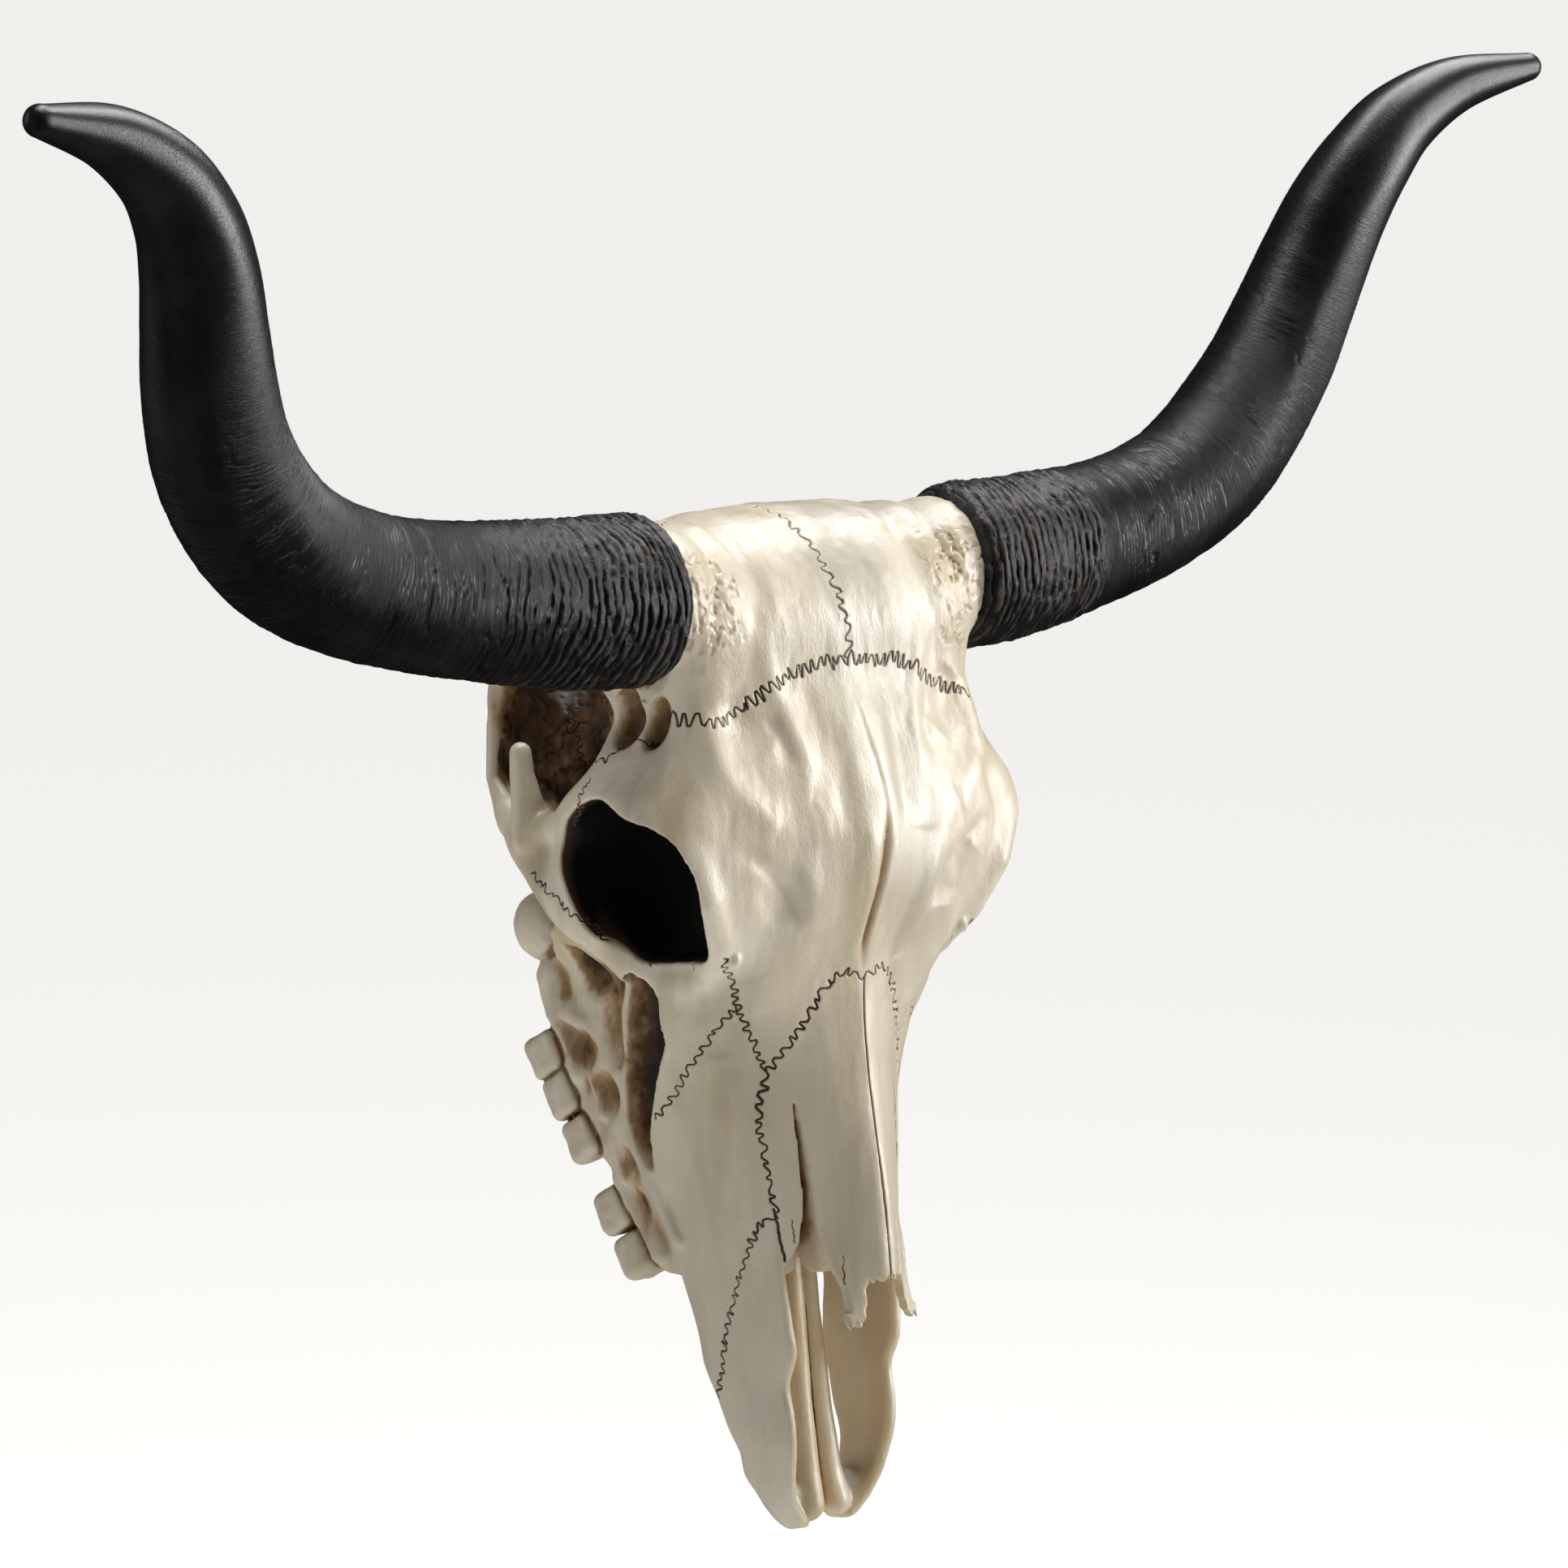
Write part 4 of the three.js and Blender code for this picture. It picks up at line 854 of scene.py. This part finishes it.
def build_skull(material):
    field = build_field()
    volume, uncut, gum = (whole_volume(field, half) for half in (field.value, field.uncut, field.toothless))
    paths = suture_paths(volume, np.random.default_rng(SEED))
    skull = skull_mesh(volume, paths, material)
    mesh = skull.data
    points = volume.settle(mesh_points(mesh), 1)
    normals = unit(volume.slope(points))
    distance, width = nearest_suture(points, paths)
    line = fade(1.5, 0.55, distance / width)
    rough = rough_patch(points)
    pits = fade(0.15, 0.6, fractal(points / 3.2, 2, 11))
    crease = mid_crease(points)
    temple_pit = shade_temple(points)
    cracked = 1 - fade(0.0, 0.16, np.abs(fractal(points / 7.0, 2, 51)))
    seams = tooth_seams(points, gum.at(points))
    close = crowding(volume, points, normals, 1.5, 5.0)
    wide = crowding(volume, points, normals, 3.0, 9.0)
    depth = np.clip(-uncut.at(points) / DEEP, 0, 1) * nose_fade(points)
    nose = inside_nose(points, normals)
    # Brown in the creases: partly grime, partly painted shade where the bone crowds round the point.
    grime_and_shade = np.maximum(fade(0.46, 0.68, close), 0.8 * crease)
    height = skull_relief(points, line, crease, temple_pit, cracked, seams, rough, pits)
    moved = trim_skull(points + normals * height[:, None])
    move_points(mesh, moved)
    looks = {
        "line": np.maximum(line, seams),
        "nose": nose,
        # partly grime, partly painted shade in the creases and crowded hollows
        "grime_and_shade": np.maximum(grime_and_shade, 0.7 * fade(0.4, 0.6, wide)),
        # brown stain with painted shade in the hollows, temples, jaw and nose
        "depth": skull_stain_and_shade(points, depth, wide, temple_pit, cracked, nose),
        # painted shade, brown at the rim to black, in the socket and the nose
        "cave": fade(0.0, 0.4, depth) * shade_caves(moved),
        "rough": rough * (0.35 + 0.65 * pits),
    }
    for name, values in looks.items():
        set_attribute(mesh, name, values)
    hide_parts("cranium")
    return skull


# ------------------------------------------------------------------ horns
# Axis of the left horn with the radius at each point
HORN_AXIS = [
    (88, -1, 100, 43),
    (142, 0, 101, 41.5),
    (222, 8, 110, 37),
    (268, 12.5, 122, 36),
    (298, 14, 138, 36),
    (320, 13, 160, 35),
    (336, 9, 185, 33.5),
    (347, 2.5, 214, 31.6),
    (355, -5, 242, 29.6),
    (363, -13, 269, 27.5),
    (375, -21, 293, 24.8),
    (394, -27, 315, 20.9),
    (426, -35, 332.5, 15.4),
    (469, -47, 341.5, 8),
]
HORN_RINGS = 700
HORN_SIDES = 190
# Where the heavy rings end and where they are full, along each horn from its base
ABRUPT_FADE = (90.0, 72.0)
GRADUAL_FADE = (150.0, 30.0)
FINE_LENGTH = 420.0            # of fine rings, from the base
RING_SPACING = 4.8
THREAD_SPACING = 2.6
HORN_INSET = 0.2               # keeps the relief inside the plain form
WRAP_LENGTH = 700.0            # of horn that the ring texture spans


def catmull(points, t):
    """Smooth curve through points at t in 0..1, on all columns."""
    p = np.array(points, float)
    p = np.concatenate([[2 * p[0] - p[1]], p, [2 * p[-1] - p[-2]]])
    s = np.clip(t, 0, 1) * (len(points) - 1)
    i = np.minimum(s.astype(int), len(points) - 2)
    u = (s - i)[:, None]
    a, b, c, d = p[i], p[i + 1], p[i + 2], p[i + 3]
    return catmull_point(a, b, c, d, u)


def round_ridge(phase):
    """Rounded ridges with sharp crevices between them: 0 in a crevice, 1 on a crest."""
    return np.sqrt(1 - (2 * (phase % 1) - 1) ** 2)


def horn_rings():
    """Along the left horn, ring by ring: length, middle, radius, and the directions out and up."""
    dense = catmull(HORN_AXIS, np.linspace(0, 1, 4000))
    dense = dense[np.argmax(dense[:, 0] >= HORN_BASE):]
    length = np.r_[0, np.cumsum(np.linalg.norm(np.diff(dense[:, :3], axis=0), axis=1))]
    tip_radius = dense[-1, 3]
    spaced = np.linspace(0, 1, HORN_RINGS)
    s = (length[-1] + tip_radius) * (0.55 * spaced + 0.45 * spaced ** 2)
    body = np.minimum(s, length[-1])
    centre = np.stack([np.interp(body, length, dense[:, a]) for a in range(3)], -1)
    past = np.clip((s - length[-1]) / tip_radius, 0, 1)
    radius = np.interp(body, length, dense[:, 3]) * np.sqrt(1 - past ** 2)
    tangent = unit(np.gradient(centre, axis=0) + 1e-12)
    tangent[past > 0] = unit(dense[-1, :3] - dense[-30, :3])
    up = unit(np.cross(tangent, (0, 1, 0)))
    return s, centre + tangent * (past * tip_radius)[:, None], radius, np.cross(up, tangent), up


def horn_relief(s, around, seed, coarse_fade):
    """Shares of heavy rings and of fine threads, and the height of the relief in millimetres."""
    def pattern(along, about, extra):
        where = np.empty((HORN_RINGS, HORN_SIDES, 3))
        where[..., 0] = (s / along)[:, None]
        where[..., 1:] = around[None] * about
        return value_noise(where, seed + extra)

    coarse = fade(*coarse_fade, s + 3 * np.sin(s * 0.4))[:, None]
    fine = fade(FINE_LENGTH, 60, s)[:, None] * (1 - 0.7 * coarse)
    wander = 0.9 * pattern(34, 1.3, 0) + 0.35 * pattern(10, 3.0, 1)
    ragged = wander + 0.16 * pattern(3, 9.0, 7)
    ridge = round_ridge(s[:, None] / RING_SPACING + ragged)
    thread = round_ridge(s[:, None] / THREAD_SPACING + 1.7 * wander)
    partial = fade(-0.5, 0.5, pattern(8, 1.6, 8))
    bands = pattern(3.1, 1.1, 4) + 0.6 * pattern(1.5, 2.2, 5)
    swell = pattern(26, 1.0, 6)
    breaks = np.exp(-(pattern(7, 1.2, 9) / 0.06) ** 2) * fade(0.0, 0.4, pattern(12, 1.5, 10))
    height = coarse * (2.2 * ridge - 2.2 + 0.7 * pattern(2.6, 7.0, 2) + 0.4 * pattern(1.3, 16.0, 3))
    height = height + fine * (0.35 * bands - 0.35 + 1.15 * partial * (thread - 1) - 1.1 * breaks)
    return coarse, fine, height + 0.25 * (swell - 1) * (1 - coarse)


def horn_surface(side, seed, coarse_fade):
    s, centre, radius, out, up = horn_rings()
    angle = np.linspace(0, 2 * math.pi, HORN_SIDES, endpoint=False)
    around = np.stack([np.cos(angle), np.sin(angle)], -1)
    ring = out[:, None] * around[:, :1] + up[:, None] * around[:, 1:]
    coarse, fine, height = horn_relief(s, around, seed, coarse_fade)
    edge = 1 - 0.10 * (1 - np.clip(s / 9.0, 0, 1)) ** 2
    total = (radius * edge - HORN_INSET)[:, None] + height * np.clip(radius / 12, 0, 1)[:, None]
    surface = centre[:, None] + ring * np.maximum(total, 0.05)[..., None]
    surface[..., 0] = np.maximum(surface[..., 0], HORN_BASE)
    relief = np.clip(0.5 + height * 0.5, 0, 1)
    return surface * (side, 1, 1), s, coarse + 0 * relief, fine + 0 * relief, relief


def wrap_rings(mesh, s):
    """Texture coordinates that run round each ring and along the horn."""
    uv = mesh.uv_layers.new(name="rings")
    index = np.empty(len(mesh.loops), np.int32)
    mesh.loops.foreach_get("vertex_index", index)
    index = np.minimum(index, HORN_RINGS * HORN_SIDES - 1)
    wrap = np.stack([(index % HORN_SIDES) / HORN_SIDES, s[index // HORN_SIDES] / WRAP_LENGTH], -1)
    uv.data.foreach_set("uv", wrap.astype(F4).ravel())


def build_horn(name, node, side, seed, coarse_fade, material):
    surface, s, coarse, fine, relief = horn_surface(side, seed, coarse_fade)
    points = surface.reshape(-1, 3)
    ids = np.arange(HORN_RINGS * HORN_SIDES).reshape(HORN_RINGS, HORN_SIDES)
    turned = np.roll(ids, -1, 1)
    quads = np.stack([ids[:-1], turned[:-1], turned[1:], ids[1:]], -1).reshape(-1, 4)
    base = points[:HORN_SIDES].mean(0) * (0, 1, 1) + (side * HORN_BASE, 0, 0)
    points = np.concatenate([points, [base]])
    cap = [(len(points) - 1, turned[0, i], ids[0, i]) for i in range(HORN_SIDES)]
    faces = [tuple(q) for q in quads] + cap + [tuple(ids[-1])]
    if side > 0:
        faces = [f[::-1] for f in faces]
    horn = make_object(name, points, faces, material)
    wrap_rings(horn.data, s)
    for key, values in (("coarse", coarse), ("fine", fine), ("relief", relief)):
        set_attribute(horn.data, key, np.r_[values.ravel(), values[0, 0]])
    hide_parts(node)
    return horn


# ------------------------------------------------------------------ materials
class Nodes:
    """Short calls for one material's node tree."""

    def __init__(self, name):
        self.material = bpy.data.materials.new(name)
        self.material.use_nodes = True
        self.tree = self.material.node_tree
        self.shader = self.tree.nodes["Principled BSDF"]
        self.colour = (1, 1, 1)

    def add(self, kind, **settings):
        node = self.tree.nodes.new(kind)
        for key, value in settings.items():
            if hasattr(node, key):
                setattr(node, key, value)
            else:
                node.inputs[key.replace("_", " ")].default_value = value
        return node

    def link(self, a, b):
        self.tree.links.new(a, b)

    def attribute(self, name):
        return self.add("ShaderNodeAttribute", attribute_name=name).outputs["Fac"]

    def noise(self, scale, stretch=(1, 1, 1), detail=4.0, rough=0.55, uv=None):
        where = self.add("ShaderNodeTexCoord").outputs["Object"] if uv is None else uv
        mapping = self.add("ShaderNodeMapping")
        mapping.inputs["Scale"].default_value = stretch
        self.link(where, mapping.inputs["Vector"])
        noise = self.add("ShaderNodeTexNoise", Scale=scale, Detail=detail, Roughness=rough)
        self.link(mapping.outputs[0], noise.inputs["Vector"])
        return noise.outputs["Fac"]

    def ramp(self, fac, stops):
        node = self.add("ShaderNodeValToRGB")
        while len(node.color_ramp.elements) < len(stops):
            node.color_ramp.elements.new(0.5)
        for element, (at, colour) in zip(node.color_ramp.elements, stops):
            element.position = at
            element.color = (*colour, 1) if len(colour) == 3 else colour
        self.link(fac, node.inputs[0])
        return node.outputs[0]

    def range(self, fac, a, b, low=0.0, high=1.0):
        node = self.add("ShaderNodeMapRange")
        for key, value in zip(("From Min", "From Max", "To Min", "To Max"), (a, b, low, high)):
            node.inputs[key].default_value = value
        self.link(fac, node.inputs[0])
        return node.outputs[0]

    def math(self, kind, a, b):
        node = self.add("ShaderNodeMath", operation=kind)
        for socket, value in zip(node.inputs, (a, b)):
            if isinstance(value, (int, float)):
                socket.default_value = value
            else:
                self.link(value, socket)
        return node.outputs[0]

    def times(self, a, b):
        return self.math("MULTIPLY", a, b)

    def mix(self, fac, a, b):
        node = self.add("ShaderNodeMix", data_type="RGBA")
        for socket, value in ((node.inputs[0], fac), (node.inputs[6], a), (node.inputs[7], b)):
            if isinstance(value, (int, float)):
                socket.default_value = value
            elif isinstance(value, tuple):
                socket.default_value = (*value, 1)
            else:
                self.link(value, socket)
        return node.outputs[2]

    def coat(self, mask, low, high, colour, most=1.0):
        """Lays a colour over what is there, from none where mask is low to most where it is high."""
        self.colour = self.mix(self.range(mask, low, high, 0.0, most), self.colour, colour)

    def bump(self, height, distance, strength=1.0, normal=None):
        node = self.add("ShaderNodeBump")
        node.inputs["Strength"].default_value = strength
        node.inputs["Distance"].default_value = distance
        self.link(height, node.inputs["Height"])
        if normal is not None:
            self.link(normal, node.inputs["Normal"])
        return node.outputs[0]


IVORY = (0.60, 0.525, 0.40)
CREAM = (0.68, 0.63, 0.525)
GREY_BONE = (0.355, 0.315, 0.235)
OLIVE = (0.42, 0.34, 0.19)
TAN = (0.37, 0.215, 0.08)
UMBER = (0.125, 0.055, 0.013)
DARK_UMBER = (0.036, 0.018, 0.009)
# Painted shade in the socket and the nose: brown near the rim, near black deeper in.
CAVE_SHADE = (0.055, 0.027, 0.013)
SHADOW_BLACK = (0.005, 0.0035, 0.003)
HONEY = (0.58, 0.42, 0.215)
BLACK_HORN = (0.0035, 0.0035, 0.004)
WORN_HORN = (0.009, 0.009, 0.01)
RUST = (0.075, 0.03, 0.02)
# On the heavy rings' crests: partly dust, partly painted sheen.
DUST_AND_SHEEN = (0.1, 0.088, 0.08)
DULL_ZINC = (0.5, 0.51, 0.52)
BRIGHT_ZINC = (0.66, 0.67, 0.68)


def bone_ground(n, fine):
    """Ivory and cream bone with olive and grey streaks, greyer down the nose."""
    broad = n.noise(9, (1, 1, 0.45), 3)
    streak = n.noise(30, (1, 1, 0.13), 4)
    grey = n.noise(19, (1, 1, 0.18), 3)
    place = n.add("ShaderNodeSeparateXYZ")
    n.link(n.add("ShaderNodeTexCoord").outputs["Object"], place.inputs[0])
    n.colour = IVORY
    n.coat(broad, 0.35, 0.68, CREAM)
    n.coat(streak, 0.52, 0.68, OLIVE, 0.66)
    n.coat(grey, 0.5, 0.66, GREY_BONE, 0.62)
    n.coat(fine, 0.55, 0.8, OLIVE, 0.25)
    n.coat(place.outputs["Z"], -0.06, -0.26, GREY_BONE, 0.42)


def bone_creases_and_tints(n, blotch):
    """Brown in the creases, partly grime and partly painted shade; tan in the rough patches and honey
    inside the nose.
    """
    grime_and_shade = n.times(n.attribute("grime_and_shade"), n.range(blotch, 0.3, 0.6, 0.4, 1.0))
    inner = n.times(n.attribute("nose"), n.range(blotch, 0.3, 0.7, 0.6, 1.0))
    # Crease brown: partly grime, partly painted shade.
    n.coat(grime_and_shade, 0.0, 0.45, TAN, 0.8)
    n.coat(grime_and_shade, 0.35, 1.0, UMBER, 0.9)
    n.coat(n.attribute("rough"), 0.0, 1.0, TAN, 0.26)
    n.coat(inner, 0.0, 1.0, HONEY, 0.8)


def bone_stain_and_shade(n, depth, blotch):
    """Mottled brown stain with painted shade that darkens with the depth of a hollow, to painted black
    shadow in the socket and the nose.
    """
    speck = n.noise(210, (1, 1, 0.6), 5, 0.65)
    patchy = n.math("ADD", n.range(blotch, 0.3, 0.7, -0.10, 0.10), n.range(speck, 0.3, 0.7, -0.08, 0.08))
    mottled = n.math("ADD", depth, n.times(patchy, n.range(depth, 0.01, 0.1)))
    cave = n.attribute("cave")
    # Stain with painted shade, darker as the hollow deepens.
    n.coat(mottled, 0.0, 0.16, TAN, 0.75)
    n.coat(mottled, 0.08, 0.38, UMBER)
    n.coat(mottled, 0.3, 0.6, DARK_UMBER)
    # Painted shade in the socket and the nose.
    n.coat(cave, 0.02, 0.12, CAVE_SHADE)
    n.coat(cave, 0.2, 0.8, SHADOW_BLACK)


def bone_material():
    n = Nodes("old_bone")
    fine = n.noise(120, (1, 1, 0.35), 5)
    blotch = n.noise(60, (1, 1, 0.8), 5)
    depth = n.attribute("depth")
    line = n.attribute("line")
    bone_ground(n, fine)
    bone_creases_and_tints(n, blotch)
    bone_stain_and_shade(n, depth, blotch)
    n.coat(line, 0.0, 0.5, TAN, 0.55)
    n.coat(line, 0.25, 0.9, DARK_UMBER, 0.97)
    n.link(n.colour, n.shader.inputs["Base Color"])
    rough = n.math("ADD", n.range(fine, 0.3, 0.7, 0.36, 0.5), n.times(depth, 0.35))
    n.link(rough, n.shader.inputs["Roughness"])
    n.shader.inputs["Specular IOR Level"].default_value = 0.35
    pores = n.range(n.noise(700, (1, 1, 0.6), 3), 0.35, 0.6)
    normal = n.bump(pores, 0.00012, 0.5)
    normal = n.bump(fine, 0.0006, 0.45, normal)
    n.link(normal, n.shader.inputs["Normal"])
    return n.material


def horn_material():
    n = Nodes("black_horn")
    where = n.add("ShaderNodeUVMap", uv_map="rings").outputs[0]
    hairs = n.noise(30, (1.0, 34, 1), 5, 0.6, where)
    threads = n.noise(60, (0.4, 26, 1), 4, 0.6, where)
    blotch = n.noise(30, (1, 1, 1), 4)
    coarse = n.attribute("coarse")
    rust = n.times(coarse, n.range(n.noise(85, (1, 1, 1), 4), 0.52, 0.68))
    # Lighter on the crests of the heavy rings: partly dust, partly painted sheen.
    dust_and_sheen = n.times(coarse, n.range(n.attribute("relief"), 0.3, 0.6))
    n.colour = BLACK_HORN
    n.coat(blotch, 0.4, 0.7, WORN_HORN)
    n.coat(rust, 0.0, 1.0, RUST, 0.35)
    n.coat(dust_and_sheen, 0.0, 1.0, DUST_AND_SHEEN, 0.5)
    n.link(n.colour, n.shader.inputs["Base Color"])
    n.shader.inputs["Specular IOR Level"].default_value = 0.24
    rough = n.range(hairs, 0.3, 0.7, 0.26, 0.4)
    rough = n.math("ADD", rough, n.times(coarse, 0.12))
    n.link(rough, n.shader.inputs["Roughness"])
    lines = n.times(threads, n.math("ADD", n.times(n.attribute("fine"), 0.9), 0.12))
    normal = n.bump(lines, 0.0018, 0.9)
    grit = n.times(n.noise(420, (1, 1, 1), 3), n.math("ADD", n.times(coarse, 0.9), 0.1))
    normal = n.bump(grit, 0.0009, 0.7, normal)
    n.link(normal, n.shader.inputs["Normal"])
    return n.material


def steel_material():
    n = Nodes("zinc_plate")
    brushed = n.noise(300, (1, 1, 0.04), 4)
    n.colour = DULL_ZINC
    n.coat(brushed, 0.3, 0.7, BRIGHT_ZINC)
    n.link(n.colour, n.shader.inputs["Base Color"])
    n.shader.inputs["Metallic"].default_value = 1.0
    n.link(n.range(brushed, 0.3, 0.7, 0.28, 0.45), n.shader.inputs["Roughness"])
    n.link(n.bump(brushed, 0.0002, 0.4), n.shader.inputs["Normal"])
    return n.material


# ------------------------------------------------------------------ camera, light and floor
CAMERA_AZIMUTH = math.radians(40.91)
CAMERA_PITCH = math.radians(9.67)
CAMERA_ROLL = math.radians(0.53)
CAMERA_DISTANCE = 2904.0
CAMERA_AIM = (-5.4, 0.0, 0.0)
CAMERA_LENS = 135.3
FLOOR_Z = -1.0
FLOOR_HALF = 90.0
LIGHT_AIM = (0, -0.12, 0.05)
# Boxes that are seen only in the gloss: name, place, size, power
GLOSS_BOXES = [
    ("gloss_strip", (1.5, -1.35, 0.3), (0.34, 1.5), 78),
    ("gloss_top", (-0.1, 0.05, 1.7), (0.8, 0.4), 30),
    ("gloss_near", (1.1, 0.0, 1.62), (0.9, 0.5), 44),
    ("gloss_left", (-2.4, -0.2, 0.2), (0.7, 2.4), 2.5),
    ("gloss_below", (-0.3, -0.4, -0.92), (1.8, 1.0), 1.4),
]


def set_camera():
    a, p, r = CAMERA_AZIMUTH, CAMERA_PITCH, CAMERA_ROLL
    ahead = np.array([math.sin(a) * math.cos(p), math.cos(a) * math.cos(p), -math.sin(p)])
    right = np.array([math.cos(a), -math.sin(a), 0])
    up = np.cross(right, ahead)
    rolled_right = right * math.cos(r) + up * math.sin(r)
    rolled_up = up * math.cos(r) - right * math.sin(r)
    data = bpy.data.cameras.new("camera")
    data.lens = CAMERA_LENS
    data.sensor_width = 36.0
    data.clip_end = 100.0
    camera = bpy.data.objects.new("camera", data)
    bpy.context.scene.collection.objects.link(camera)
    turn = Matrix([rolled_right, rolled_up, -ahead]).transposed().to_4x4()
    eye = to_row(np.array(CAMERA_AIM) - ahead * CAMERA_DISTANCE)
    camera.matrix_world = Matrix.Translation(eye) @ turn
    bpy.context.scene.camera = camera


def add_light(kind, name, place, power, colour=(1, 1, 1)):
    data = bpy.data.lights.new(name, kind)
    data.energy = power
    data.color = colour
    light = bpy.data.objects.new(name, data)
    bpy.context.scene.collection.objects.link(light)
    light.location = place
    light.visible_camera = False
    light.rotation_euler = (Vector(LIGHT_AIM) - Vector(place)).to_track_quat("-Z", "Y").to_euler()
    return data


def soft_box(name, place, size, power, colour=(1, 1, 1), diffuse=True):
    data = add_light("AREA", name, place, power, colour)
    bpy.data.objects[name].visible_diffuse = diffuse
    data.shape = "RECTANGLE"
    data.size, data.size_y = size


def set_studio():
    sun = add_light("SUN", "overhead_sun", (0.66, -0.74, 3.0), 1.7, (1.0, 0.98, 0.94))
    sun.angle = math.radians(20)
    soft_box("right_strip", (1.62, -1.3, 0.42), (0.34, 1.6), 28, (1.0, 0.98, 0.94))
    soft_box("top_box", (0.2, 0.1, 1.75), (0.9, 0.5), 14)
    soft_box("rear_box", (-1.6, 1.1, 0.6), (0.7, 1.2), 6)
    soft_box("front_box", (0.1, -1.9, 1.3), (0.8, 0.8), 1)
    for name, place, size, power in GLOSS_BOXES:
        soft_box(name, place, size, power, diffuse=False)
    world = bpy.data.worlds.new("studio")
    bpy.context.scene.world = world
    world.use_nodes = True
    background = world.node_tree.nodes["Background"]
    background.inputs["Color"].default_value = (0.97, 0.985, 1, 1)
    background.inputs["Strength"].default_value = 0.02


def lay_floor():
    mesh = bpy.data.meshes.new("floor")
    half = FLOOR_HALF
    corners = [(x * half, y * half, FLOOR_Z) for x, y in ((-1, -1), (1, -1), (1, 1), (-1, 1))]
    mesh.from_pydata(corners, [], [(0, 1, 2, 3)])
    floor = bpy.data.objects.new("floor", mesh)
    bpy.context.scene.collection.objects.link(floor)
    paper = Nodes("paper_floor")
    paper.shader.inputs["Base Color"].default_value = (0.94, 0.94, 0.94, 1)
    paper.shader.inputs["Roughness"].default_value = 0.9
    paper.shader.inputs["Specular IOR Level"].default_value = 0.0
    paper.shader.inputs["Emission Color"].default_value = (1, 1, 1, 1)
    paper.shader.inputs["Emission Strength"].default_value = 0.37
    mesh.materials.append(paper.material)
    floor.visible_glossy = False


# ------------------------------------------------------------------ the scene
set_camera()
set_studio()
lay_floor()
bpy.context.scene.view_settings.view_transform = "Standard"
bone = bone_material()
black = horn_material()
build_skull(bone)
build_horn("horn_left_detail", "horn_left", 1, 100, ABRUPT_FADE, black)
build_horn("horn_right_detail", "horn_right", -1, 200, GRADUAL_FADE, black)
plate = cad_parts["hanger_plate"]
plate.data.materials.clear()
plate.data.materials.append(steel_material())
